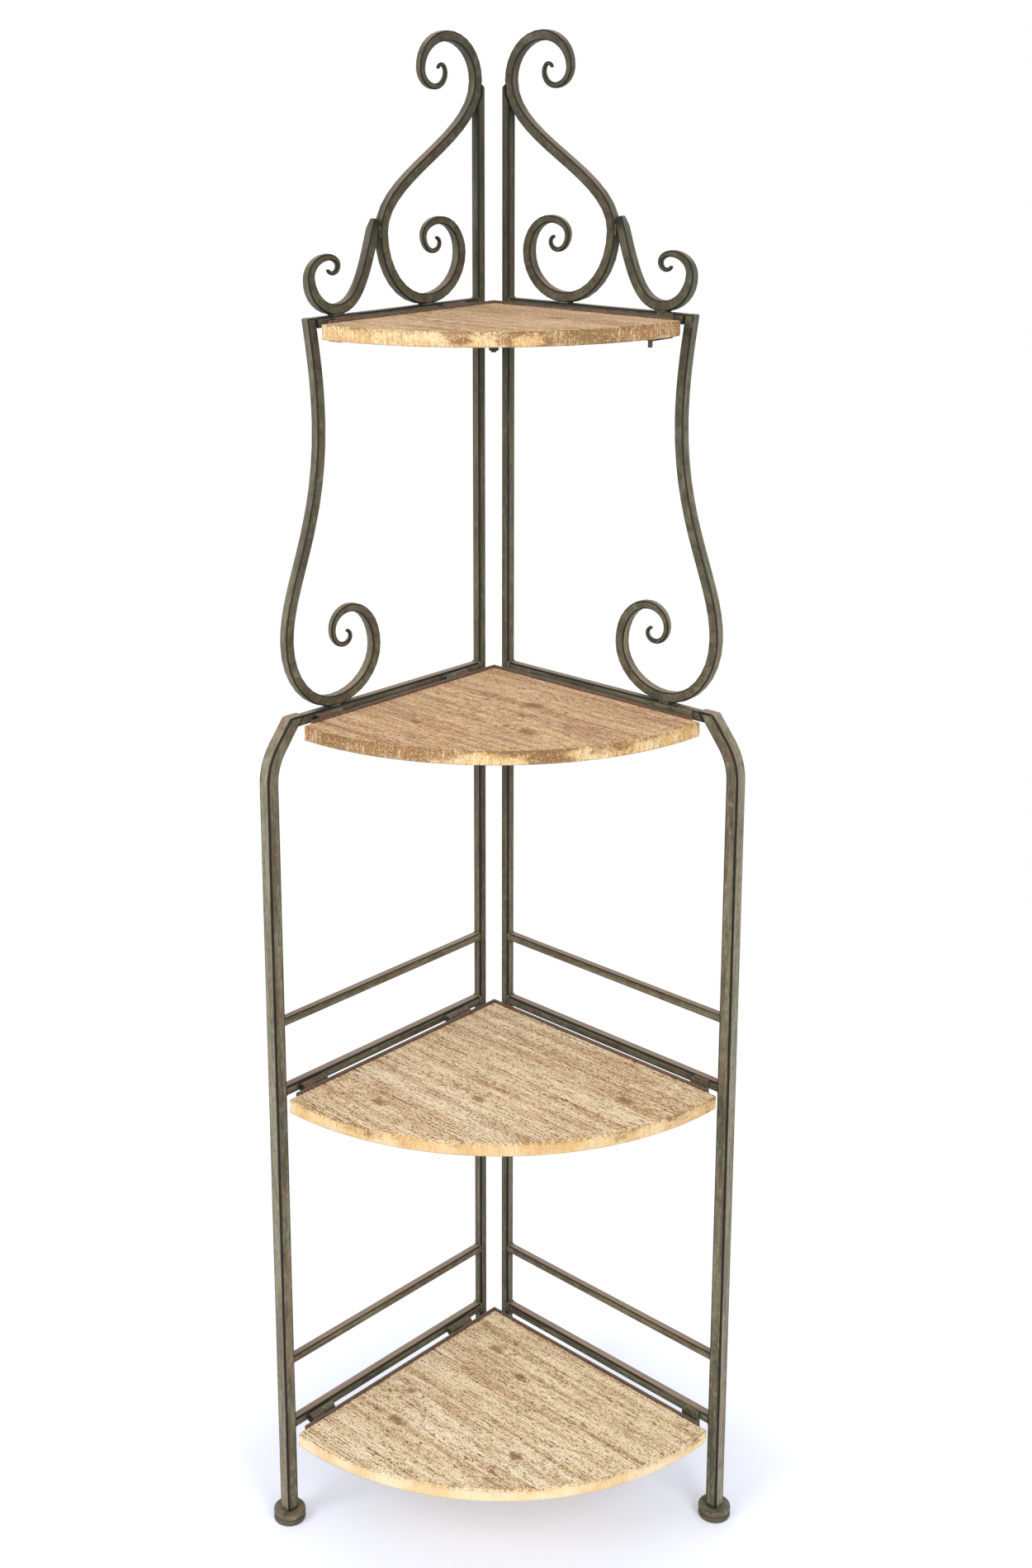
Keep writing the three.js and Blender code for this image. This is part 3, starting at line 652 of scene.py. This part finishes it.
def dress(node, material, rounding, segments=BAR_SEGMENTS, clamped=True, least_angle=SMOOTH_ANGLE):
    round_over(node, rounding, segments, clamped, least_angle)
    smooth = node.modifiers.new("smooth", "NODES")
    smooth.node_group = SMOOTH
    # Smooth shading comes just before the rounding, which hardens its normals
    node.modifiers.move(len(node.modifiers) - 1, len(node.modifiers) - 2)
    node.data.materials.clear()
    node.data.materials.append(material)


def dress_cad():
    swinging = set(frame["record"]["behaviour"]["bodies"]["right_frame"])
    for name, node in frame["nodes"].items():
        side = "right" if name in swinging else "left"
        if name.endswith("_board"):
            continue
        if name.endswith("_foot_pad"):
            dress(node, PAD, SMALL_ROUNDING)
        elif name.endswith(("_pin", "_bolt")):
            dress(node, STEEL, SMALL_ROUNDING, SMALL_SEGMENTS)
        elif name.endswith("_frame"):
            dress(node, EDGING, SMALL_ROUNDING, SMALL_SEGMENTS)
        elif name.endswith(("_barrel", "_catch", "_lug")):
            dress(node, PAINT[side, "fitting"], SMALL_ROUNDING, SMALL_SEGMENTS)
        elif "_guard_" in name:
            dress(node, PAINT[side, "rail"], GUARD_ROUNDING)
        elif "_rail_" in name:
            dress(node, PAINT[side, "rail"], BAR_ROUNDING)
        elif name.endswith("_foot_disc"):
            dress(node, PAINT[side, "fitting"], SHEET_ROUNDING)
        elif name.endswith("_scroll"):
            dress(node, PAINT[side, "scroll"], SCROLL_ROUNDING, clamped=False)
        elif name.endswith("_leg"):
            dress(node, PAINT[side, "leg"], LEG_ROUNDING)
        else:
            post = PAINT[side, "post"]
            dress(node, post, BAR_ROUNDING, clamped=False, least_angle=SQUARE_ANGLE)


dress_cad()


# Mesh helpers


def add_mesh(name, points, faces, material, body):
    mesh = bpy.data.meshes.new(name)
    mesh.from_pydata([tuple(p) for p in points], [], faces)
    mesh.polygons.foreach_set("use_smooth", [True] * len(mesh.polygons))
    mesh.materials.append(material)
    mesh.update()
    piece = bpy.data.objects.new(name, mesh)
    bpy.context.scene.collection.objects.link(piece)
    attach(piece, body)
    return piece


def merged(parts):
    """The points and faces of several small meshes, as those of one."""
    points, faces = [], []
    for part_points, part_faces in parts:
        base = len(points)
        points += part_points
        faces += [tuple(base + index for index in face) for face in part_faces]
    return points, faces


def set_attribute(piece, name, values):
    attribute = piece.data.attributes.new(name, "FLOAT", "POINT")
    attribute.data.foreach_set("value", np.asarray(values, np.float32).ravel())


HASH_COLUMN = 374761393
HASH_ROW = 668265263
HASH_SEED = 144269504
HASH_SPREAD = 1274126177
HASH_BITS = 0xFFFFFFFF
HASH_FOLDS = (13, 16)
HASH_RANGE = 0xFFFF


def value_noise(x, y, seed):
    """Smooth noise between -1 and 1, one feature to a unit, on arrays of places."""
    x0, y0 = np.floor(x).astype(np.int64), np.floor(y).astype(np.int64)
    fx, fy = x - x0, y - y0
    fx, fy = fx * fx * (3 - 2 * fx), fy * fy * (3 - 2 * fy)

    def node_value(i, j):
        n = (i * HASH_COLUMN + j * HASH_ROW + seed * HASH_SEED) & HASH_BITS
        n = ((n ^ (n >> HASH_FOLDS[0])) * HASH_SPREAD) & HASH_BITS
        return ((n ^ (n >> HASH_FOLDS[1])) & HASH_RANGE) / (HASH_RANGE / 2) - 1

    low = node_value(x0, y0) * (1 - fx) + node_value(x0 + 1, y0) * fx
    high = node_value(x0, y0 + 1) * (1 - fx) + node_value(x0 + 1, y0 + 1) * fx
    return low * (1 - fy) + high * fy


# Wooden boards: brushed grooves along the right frame's rails, worn arrises and sawn arc edges

STAVE_WIDTH = 52 * MM
STAVE_JOINT = 0.6 * MM
JOINT_GRAIN = 0.12
STAVE_SHIFT = 0.37
GROOVE_PITCH = 3.4 * MM
GROOVE_LENGTH = 60 * MM
GROOVE_DEPTH = 0.35 * MM
GROOVE_LEAST = 0.7
GROOVE_SWAY = 0.7
SWAY_WIDTH = 3 * GROOVE_PITCH
FINE_STEPS = 3
FINE_SHARE = 0.35
BRUSH_LENGTH = 5 * MM
BRUSH_PITCH = GROOVE_PITCH / 2
BRUSH_MIDDLE = 0.5
BRUSH_SPREAD = 0.9
BRUSH_SHARES = (0.1, 0.85)
PATCH_SIZE = (90 * MM, 45 * MM)
FLOW_SWING = 2.5 * MM
FLOW_SIZE = (120 * MM, 50 * MM)
ARRIS = 1.4 * MM
ARRIS_MOST = 0.3
ARRIS_BEND = 0.3
CHIP = 0.6 * MM
CHIP_SIZE = (7 * MM, 9 * MM)
CHIP_FROM = 0.72
SAW_DEPTH = 0.25 * MM
SAW_MIDDLE = 0.5
SAW_CALM = 3
SAW_SIZE = (1.6 * MM, 8 * MM)
FINE_SAW_SIZE = (0.9 * MM, 3 * MM)
FINE_SAW_SHARE = 0.5
BOARD_LINES = 460
BOARD_STEPS = 150
EDGE_STEPS = 9
LAST_ANGLE = math.radians(89.6)
LEAST_LENGTH = 1e-6

# How far each board has gone from cream to tan
BOARD_TAN = {1: 0.9, 2: 1.0, 3: 0.25, 4: 0.0}
# How golden its sawn edge is, and how much of it is stained brown at even steps from its right
# end to its left end
EDGE_GOLD = {1: 0.8, 2: 1.0, 3: 0.75, 4: 0.35}
EDGE_STAIN = {
    1: (0.85, 0.95, 0.6, 0.35, 0.2),
    2: (0.4, 0.4, 0.6, 0.7, 0.95),
    3: (0.45, 0.35, 0.2, 0.35, 0.4),
    4: (0.4, 0.36, 0.1, 0.0, 0.0),
}

# Knots of each board: distances from its rear corner along and across the grain, and size
KNOTS = {
    1: ((0.120, 0.050, 0.006), (0.055, 0.130, 0.005)),
    2: ((0.105, 0.060, 0.010), (0.150, 0.120, 0.008), (0.060, 0.165, 0.006)),
    3: ((0.215, 0.062, 0.008), (0.120, 0.150, 0.006), (0.060, 0.215, 0.007)),
    4: ((0.045, 0.045, 0.007), (0.090, 0.062, 0.006), (0.050, 0.190, 0.008),
        (0.030, 0.150, 0.005), (0.165, 0.150, 0.006)),
}
KNOT_SINK = 0.25 * MM
# In sizes of the knot: how far the grain bends round it, and its own shape
KNOT_BEND = (4, 2)
KNOT_PUSH = 0.7
KNOT_TURN = 0.4
KNOT_STRETCH = 1.5
KNOT_FADE = 1.6
KNOT_LUMPS = 0.25
KNOT_LUMP_SIZE = (4 * MM, 3 * MM)

# Seeds of the noise: the flow's is multiplied by the board's number, and to each of the others
# the board's or the knot's number is added
FLOW_SEED = 11
SEEDS = {
    "sway": 3, "fine": 13, "brush": 23, "patch": 33,
    "saw": 43, "fine_saw": 53, "chip": 63, "knot": 70, "groove": 83,
}
TINT_STEP = 12.9898
TINT_SHIFT = 4.1
TINT_SCATTER = 43758.5453


def grain_field(along, across, number):
    """Groove height 0 to 1, knot share and stave tint of places on a board."""
    swing = value_noise(along / FLOW_SIZE[0], across / FLOW_SIZE[1], FLOW_SEED * number)
    flow = across + FLOW_SWING * swing
    knot = np.zeros_like(along)
    for index, (at_along, at_across, size) in enumerate(KNOTS[number]):
        da, dc = along - at_along, across - at_across
        near = np.exp(-((da / (KNOT_BEND[0] * size)) ** 2) - (dc / (KNOT_BEND[1] * size)) ** 2)
        flow = flow - near * size * KNOT_PUSH * np.tanh(dc / (KNOT_TURN * size))
        lumps = value_noise(da / KNOT_LUMP_SIZE[0], dc / KNOT_LUMP_SIZE[1], SEEDS["knot"] + index)
        reach = np.hypot(da / (KNOT_STRETCH * size), dc / size) * (1 + KNOT_LUMPS * lumps)
        knot = np.maximum(knot, np.clip(KNOT_FADE * (1 - reach), 0, 1))

    seed = {name: start + number for name, start in SEEDS.items()}
    far = along / GROOVE_LENGTH
    sway = value_noise(far, flow / SWAY_WIDTH, seed["sway"])
    depth = value_noise(far, flow / GROOVE_PITCH, seed["groove"])
    depth = GROOVE_LEAST + (1 - GROOVE_LEAST) * depth
    lines = depth * np.cos(2 * np.pi * (flow / GROOVE_PITCH + GROOVE_SWAY * sway))
    fine = value_noise(far * FINE_STEPS, flow / GROOVE_PITCH * FINE_STEPS, seed["fine"])
    brushed = value_noise(along / BRUSH_LENGTH, flow / BRUSH_PITCH, seed["brush"])
    patch = value_noise(along / PATCH_SIZE[0], across / PATCH_SIZE[1], seed["patch"])
    share = np.clip(BRUSH_MIDDLE + patch * BRUSH_SPREAD, *BRUSH_SHARES)
    grain = 0.5 + ((1 - share) * (lines + FINE_SHARE * fine) + share * brushed) / 2

    place = flow / STAVE_WIDTH + STAVE_SHIFT * number
    joint = np.abs(place - np.round(place)) * STAVE_WIDTH < STAVE_JOINT
    grain = np.where(joint, np.minimum(grain, JOINT_GRAIN), grain)
    turn = np.sin(np.floor(place) * TINT_STEP + number * TINT_SHIFT)
    return np.clip(grain, 0, 1), knot, (turn * TINT_SCATTER) % 1.0


def board_profile(width, thickness):
    """A board's section across its arc: (distance along the grain, height, kind), all round it."""
    ease = min(ARRIS, width * ARRIS_MOST)
    bend = ease * ARRIS_BEND
    outline = [(0.0, 0.0, "bottom"), (width / 2, 0.0, "bottom"), (width - ease, 0.0, "bottom")]
    outline.append((width - bend, bend, "edge"))
    for step in range(EDGE_STEPS):
        rise = (thickness - 2 * ease) * step / (EDGE_STEPS - 1)
        outline.append((width, ease + rise, "edge"))
    outline.append((width - bend, thickness - bend, "edge"))
    for step in range(BOARD_STEPS + 1):
        outline.append(((width - ease) * (1 - step / BOARD_STEPS), thickness, "top"))
    return outline


def edge_inset(run, height, thickness, number):
    """How far sawn streaks and chips lie in from a board's arc."""
    saw = value_noise(run / SAW_SIZE[0], height / SAW_SIZE[1], SEEDS["saw"] + number)
    fine_seed = SEEDS["fine_saw"] + number
    fine = value_noise(run / FINE_SAW_SIZE[0], height / FINE_SAW_SIZE[1], fine_seed)
    chip = value_noise(run / CHIP_SIZE[0], height / CHIP_SIZE[1], SEEDS["chip"] + number)
    chip = np.clip(chip, 0, 1) ** 2
    near_top = np.clip((height / thickness - CHIP_FROM) / (1 - CHIP_FROM), 0, 1)
    streaks = SAW_MIDDLE + (saw + FINE_SAW_SHARE * fine) / SAW_CALM
    return SAW_DEPTH * streaks + CHIP * chip * near_top


def board_faces(count):
    """Quads between neighbouring sections of so many points, and a face on each end."""
    faces = []
    for line in range(BOARD_LINES - 1):
        first, second = line * count, (line + 1) * count
        for step in range(count):
            after = (step + 1) % count
            faces.append((first + step, second + step, second + after, first + after))
    faces.append(tuple(range(count)))
    faces.append(tuple(reversed(range((BOARD_LINES - 1) * count, BOARD_LINES * count))))
    return faces


def add_board(number):
    low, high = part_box(f"shelf_{number}_board")
    radius = high.x - low.x
    thickness = high.z - low.z
    angles = np.linspace(0, LAST_ANGLE, BOARD_LINES)
    outlines = [board_profile(radius * math.cos(angle), thickness) for angle in angles]
    kinds = [kind for _, _, kind in outlines[0]]
    is_top = np.array([kind == "top" for kind in kinds])
    is_edge = np.array([kind == "edge" for kind in kinds])
    along = np.array([[place for place, _, _ in outline] for outline in outlines])
    level = np.array([[z for _, z, _ in outline] for outline in outlines])
    across = np.repeat((radius * np.sin(angles))[:, None], len(kinds), axis=1)
    grain, knot, tint = grain_field(along, across, number)
    knot = knot * is_top

    run = np.repeat((radius * angles)[:, None], len(kinds), axis=1)
    inset = edge_inset(run, level, thickness, number) * is_edge
    along = along - inset * np.cos(np.arctan2(across, np.maximum(along, LEAST_LENGTH)))
    across = across - inset * np.sin(np.arctan2(across, np.maximum(along, LEAST_LENGTH)))
    height = level - GROOVE_DEPTH * (1 - grain) * is_top - KNOT_SINK * knot
    points = np.stack([low.x + along, high.y - across, low.z + height], axis=-1).reshape(-1, 3)
    faces = board_faces(len(kinds))
    board = add_mesh(f"shelf_{number}_planks", points, faces, WOOD, f"shelf_{number}")

    marks = np.linspace(0, 1, len(EDGE_STAIN[number]))
    stain = np.interp(np.linspace(0, 1, BOARD_LINES), marks, EDGE_STAIN[number])
    values = {
        "grain": grain,
        "knot": knot,
        "stave": tint,
        "tan": np.full(grain.shape, BOARD_TAN[number]),
        "gold": np.full(grain.shape, EDGE_GOLD[number]),
        "stain": np.repeat(stain, len(kinds)),
        "rise": level / thickness,
        "side": np.repeat(is_edge[None, :].astype(float), BOARD_LINES, axis=0),
    }
    for name in WOOD_VALUES:
        set_attribute(board, name, values[name])
    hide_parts(f"shelf_{number}_board")


for shelf in SHELVES:
    add_board(shelf)


# Weld beads: lumpy fillets round the ends of the rails and under the scrolls

BEAD_RADIUS = 0.9 * MM
BEAD_SIDES = 8
BEAD_STEP = 0.8 * MM
BEAD_LEAST_PLACES = 16
# Lumps along a bead, in waves: their height, their pace, and how far the bead's seed shifts them
BEAD_LUMPS = ((0.22, 2.4, 1.0), (0.14, 0.9, 2.1))
RING_ROUNDING = 0.4
CORNER_STEPS = 3
SEAT_HALF_LENGTH = 5 * MM
SEAT_WIDTH_SHARE = 0.9
SAME_LEVEL = 0.1 * MM
RAIL_SEED = 3
GUARD_SEED = 5
SEAT_SEED = 31
TOUCH_SEED = 41
# From this shelf down the rails end square against a leg, so that a bead fits round their ends
FIRST_SQUARE_END = 3


def ring_outline(half_a, half_b, rounding):
    """Places round a rounded rectangle, evenly spaced, as offsets along its two axes."""
    corners = [(half_a, half_b), (-half_a, half_b), (-half_a, -half_b), (half_a, -half_b)]
    places = []
    for index, (a, b) in enumerate(corners):
        centre_a = a - math.copysign(rounding, a)
        centre_b = b - math.copysign(rounding, b)
        for step in range(CORNER_STEPS + 1):
            angle = math.pi / 2 * (index + step / CORNER_STEPS)
            offset = rounding * math.cos(angle), rounding * math.sin(angle)
            places.append((centre_a + offset[0], centre_b + offset[1]))
    loop = np.array(places + places[:1])
    lengths = np.hypot(*np.diff(loop, axis=0).T)
    total = lengths.sum()
    marks = np.concatenate([[0], np.cumsum(lengths)])
    count = max(BEAD_LEAST_PLACES, int(total / BEAD_STEP))
    spots = np.linspace(0, total, count, endpoint=False)
    return np.stack([np.interp(spots, marks, part) for part in loop.T], axis=1)


def bead_ring(centre, axis, side, half_a, half_b, seed):
    """A bead round a bar whose section is half_a along side and half_b along the third direction."""
    axis, side = Vector(axis), Vector(side)
    third = axis.cross(side)
    outline = ring_outline(half_a, half_b, min(half_a, half_b) * RING_ROUNDING)
    places = [Vector(centre) + side * a + third * b for a, b in outline]
    points, faces = [], []
    count = len(places)
    for index, place in enumerate(places):
        outward = (place - Vector(centre)).normalized()
        lump = 1.0
        for rise, pace, shift in BEAD_LUMPS:
            lump += rise * math.sin(index * pace + shift * seed)
        for turn in range(BEAD_SIDES):
            angle = 2 * math.pi * turn / BEAD_SIDES
            offset = outward * math.cos(angle) + axis * math.sin(angle)
            points.append(place + offset * BEAD_RADIUS * lump)
    for index in range(count):
        after = (index + 1) % count
        for turn in range(BEAD_SIDES):
            beyond = (turn + 1) % BEAD_SIDES
            faces.append((index * BEAD_SIDES + turn, index * BEAD_SIDES + beyond,
                          after * BEAD_SIDES + beyond, after * BEAD_SIDES + turn))
    return points, faces


def node_points(name):
    return [vertex.co.copy() for vertex in frame["nodes"][name].data.vertices]


def lowest_place(name):
    """The middle of a node's lowest points, where it stands on what carries it."""
    points = node_points(name)
    bottom = min(point.z for point in points)
    low = [point for point in points if point.z < bottom + SAME_LEVEL]
    return sum(low, Vector()) / len(low)


def closest_place(first, second):
    """The middle between the two nearest points of two nodes."""
    points = node_points(first)
    tree = KDTree(len(points))
    for index, point in enumerate(points):
        tree.insert(point, index)
    tree.balance()
    found = [(tree.find(point), point) for point in node_points(second)]
    (near, _, _), point = min(found, key=lambda pair: pair[0][2])
    return (near + point) / 2


# For each frame: the direction along its rails away from the rear corner, and the one across them
FRAME_DIRECTIONS = {
    "left": (Vector((0, -1, 0)), Vector((1, 0, 0))),
    "right": (Vector((1, 0, 0)), Vector((0, 1, 0))),
}
UP = Vector((0, 0, 1))


def rail_welds(side, name, seed, signs=(-1, 1)):
    """Beads round the ends of a rail or guard rail: -1 is its rear end and 1 its front end."""
    forward, across = FRAME_DIRECTIONS[side]
    low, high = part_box(name)
    middle = (low + high) / 2
    half_length = abs((high - low).dot(forward)) / 2
    half_width = abs((high - low).dot(across)) / 2
    half_height = (high.z - low.z) / 2
    rings = []
    for sign in signs:
        centre = middle + forward * sign * half_length
        rings.append(bead_ring(centre, forward, across, half_width, half_height, seed + sign))
    return rings


def scroll_welds(side):
    """Beads under the three scrolls, and one where the small scroll touches the crest scroll."""
    forward, across = FRAME_DIRECTIONS[side]
    low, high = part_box(f"{side}_crest_scroll")
    half_width = abs((high - low).dot(across)) / 2 * SEAT_WIDTH_SHARE
    rings = []
    for index, scroll in enumerate(("crest", "small", "side")):
        seat = lowest_place(f"{side}_{scroll}_scroll")
        seed = SEAT_SEED + index
        rings.append(bead_ring(seat, UP, forward, SEAT_HALF_LENGTH, half_width, seed))
    touch = closest_place(f"{side}_crest_scroll", f"{side}_small_scroll")
    off_plane = across * touch.dot(across) - across * ((low + high) / 2).dot(across)
    touch = touch - off_plane
    rings.append(bead_ring(touch, forward, UP, SEAT_HALF_LENGTH, half_width, TOUCH_SEED))
    return rings


def frame_welds(side):
    rings = []
    for number in SHELVES:
        signs = (-1, 1) if number >= FIRST_SQUARE_END else (-1,)
        rings += rail_welds(side, f"{side}_rail_{number}", RAIL_SEED * number, signs)
        if f"{side}_guard_{number}" in frame["nodes"]:
            rings += rail_welds(side, f"{side}_guard_{number}", GUARD_SEED * number)
    points, faces = merged(rings + scroll_welds(side))
    add_mesh(f"{side}_weld_beads", points, faces, PAINT[side, "fitting"], f"{side}_frame")


for side_name in FRAMES:
    frame_welds(side_name)


# Screws through the shelves' flanges into the boards, seen from below

SCREW_RADIUS = 3.2 * MM
SCREW_HEIGHT = 1.7 * MM
SLOT_HALF_WIDTH = 0.45 * MM
SLOT_REACH = 1.9 * MM
SLOT_DEPTH = 0.9 * MM
SCREW_RINGS = 10
SCREW_SIDES = 40
FLANGE_MIDDLE = 7 * MM
# The flange's underside from the board's, and the edging's outer face from the board's side
FLANGE_DROP = 2.2 * MM
EDGING_WALL = 2 * MM
SCREW_SHARES = (0.2, 0.48, 0.76)


def screw_head(top):
    """A pan head with a cross recess, facing down from the place where it meets the flange."""
    points, faces = [], []
    for ring in range(SCREW_RINGS + 1):
        share = ring / SCREW_RINGS
        reach = SCREW_RADIUS * share
        dome = SCREW_HEIGHT * math.sqrt(max(0.0, 1 - share ** 3))
        for turn in range(SCREW_SIDES):
            angle = 2 * math.pi * turn / SCREW_SIDES
            x, y = reach * math.cos(angle), reach * math.sin(angle)
            nearer, further = sorted((abs(x), abs(y)))
            in_slot = nearer < SLOT_HALF_WIDTH and further < SLOT_REACH
            z = top.z - dome + (SLOT_DEPTH if in_slot else 0.0)
            points.append(Vector((top.x + x, top.y + y, z)))
    for ring in range(SCREW_RINGS):
        for turn in range(SCREW_SIDES):
            after = (turn + 1) % SCREW_SIDES
            inner, outer = ring * SCREW_SIDES, (ring + 1) * SCREW_SIDES
            faces.append((inner + turn, inner + after, outer + after, outer + turn))
    return points, faces


def shelf_screws(number):
    low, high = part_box(f"shelf_{number}_board")
    underside = low.z - FLANGE_DROP
    heads = []
    for share in SCREW_SHARES:
        reach = (high.x - low.x) * share
        left = Vector((low.x - EDGING_WALL + FLANGE_MIDDLE, high.y - reach, underside))
        right = Vector((low.x + reach, high.y + EDGING_WALL - FLANGE_MIDDLE, underside))
        heads += [screw_head(left), screw_head(right)]
    points, faces = merged(heads)
    add_mesh(f"shelf_{number}_screws", points, faces, STEEL, f"shelf_{number}")


for shelf in SHELVES:
    shelf_screws(shelf)


# Floor, background and light

FLOOR_RADIUS = 1.3
FLOOR_CLEAR = 0.24
FLOOR_SIDES = 96
FLOOR_ROUGHNESS = 0.9
FLOOR_COLOUR = (0.84, 0.87, 0.96, 1.0)
# The floor glows to the rays that show the background, less near the middle: a painted shadow round the
# unit
NEAR_GLOW = 0.14
FAR_GLOW = 0.34
PAINTED_SHADOW_REACH = (0.1, 0.36)
AMBIENT = 0.62
COOL_SKY = (0.95, 0.98, 1.06, 1.0)
LIGHT_AIM = (0.0, 0.0, 0.7)
KEY_PLACE = (-0.5, -2.9, 1.9)
KEY_SIZE = (1.6, 2.0)
KEY_POWER = 52.0
FILL_PLACE = (2.75, -0.6, 2.0)
FILL_SIZE = (1.6, 2.2)
FILL_POWER = 48.0


def showing_rays(tree):
    """1 on the rays that show the background: to the camera, mirrored or through glass."""
    path = tree.nodes.new("ShaderNodeLightPath")
    rays = path.outputs["Is Camera Ray"]
    for kind in ("Is Glossy Ray", "Is Transmission Ray"):
        either = tree.nodes.new("ShaderNodeMath")
        either.operation = "MAXIMUM"
        tree.links.new(rays, either.inputs[0])
        tree.links.new(path.outputs[kind], either.inputs[1])
        rays = either.outputs[0]
    return rays


def add_floor():
    """A round white floor that fades out, so that no horizon shows; less glow near the middle paints a
    shadow.
    """
    shader = Shader("pale_floor")
    shader.finish(FLOOR_COLOUR, FLOOR_ROUGHNESS, 0.0)
    rays = showing_rays(shader.tree)
    outward = shader.node("ShaderNodeVectorMath", operation="LENGTH")
    shader.put(shader.place, outward.inputs[0])
    outward = outward.outputs["Value"]
    # Less glow near the middle paints a darker shadow round the unit
    glow = shader.between(shader.ramp(outward, *PAINTED_SHADOW_REACH), NEAR_GLOW, FAR_GLOW)
    shader.surface.inputs["Emission Color"].default_value = WHITE
    shader.put(shader.math("MULTIPLY", glow, rays), shader.surface.inputs["Emission Strength"])
    fade = shader.ramp(outward, FLOOR_CLEAR, FLOOR_RADIUS)
    clear = shader.node("ShaderNodeBsdfTransparent")
    blend = shader.node("ShaderNodeMixShader")
    shader.put(shader.math("MULTIPLY", fade, rays), blend.inputs[0])
    shader.put(shader.surface.outputs[0], blend.inputs[1])
    shader.put(clear.outputs[0], blend.inputs[2])
    shader.put(blend.outputs[0], shader.tree.nodes["Material Output"].inputs["Surface"])
    turns = [2 * math.pi * side / FLOOR_SIDES for side in range(FLOOR_SIDES)]
    rim = [(FLOOR_RADIUS * math.cos(turn), FLOOR_RADIUS * math.sin(turn), 0.0) for turn in turns]
    mesh = bpy.data.meshes.new("floor")
    mesh.from_pydata(rim, [], [tuple(range(FLOOR_SIDES))])
    mesh.materials.append(shader.material)
    floor = bpy.data.objects.new("floor", mesh)
    bpy.context.scene.collection.objects.link(floor)


def add_world():
    """White to the rays that show it, and a cooler, dimmer sky as a light."""
    world = bpy.data.worlds.new("studio")
    bpy.context.scene.world = world
    world.use_nodes = True
    tree = world.node_tree
    background = tree.nodes["Background"]
    rays = showing_rays(tree)
    tone = tree.nodes.new("ShaderNodeMix")
    tone.data_type = "RGBA"
    for colour, at in zip((COOL_SKY, WHITE), MIX_COLOURS):
        tone.inputs[at].default_value = colour
    tree.links.new(rays, tone.inputs[0])
    tree.links.new(tone.outputs[MIXED_COLOUR], background.inputs["Color"])
    seen = tree.nodes.new("ShaderNodeMath")
    seen.operation = "MULTIPLY_ADD"
    seen.inputs[1].default_value = 1.0 - AMBIENT
    seen.inputs[2].default_value = AMBIENT
    tree.links.new(rays, seen.inputs[0])
    tree.links.new(seen.outputs[0], background.inputs["Strength"])


def add_softbox(name, place, size, power):
    data = bpy.data.lights.new(name, "AREA")
    data.shape = "RECTANGLE"
    data.size, data.size_y = size
    data.energy = power
    lamp = bpy.data.objects.new(name, data)
    lamp.location = place
    lamp.rotation_euler = (Vector(LIGHT_AIM) - Vector(place)).to_track_quat("-Z", "Y").to_euler()
    bpy.context.scene.collection.objects.link(lamp)


add_floor()
add_world()
add_softbox("key_light", KEY_PLACE, KEY_SIZE, KEY_POWER)
add_softbox("fill_light", FILL_PLACE, FILL_SIZE, FILL_POWER)
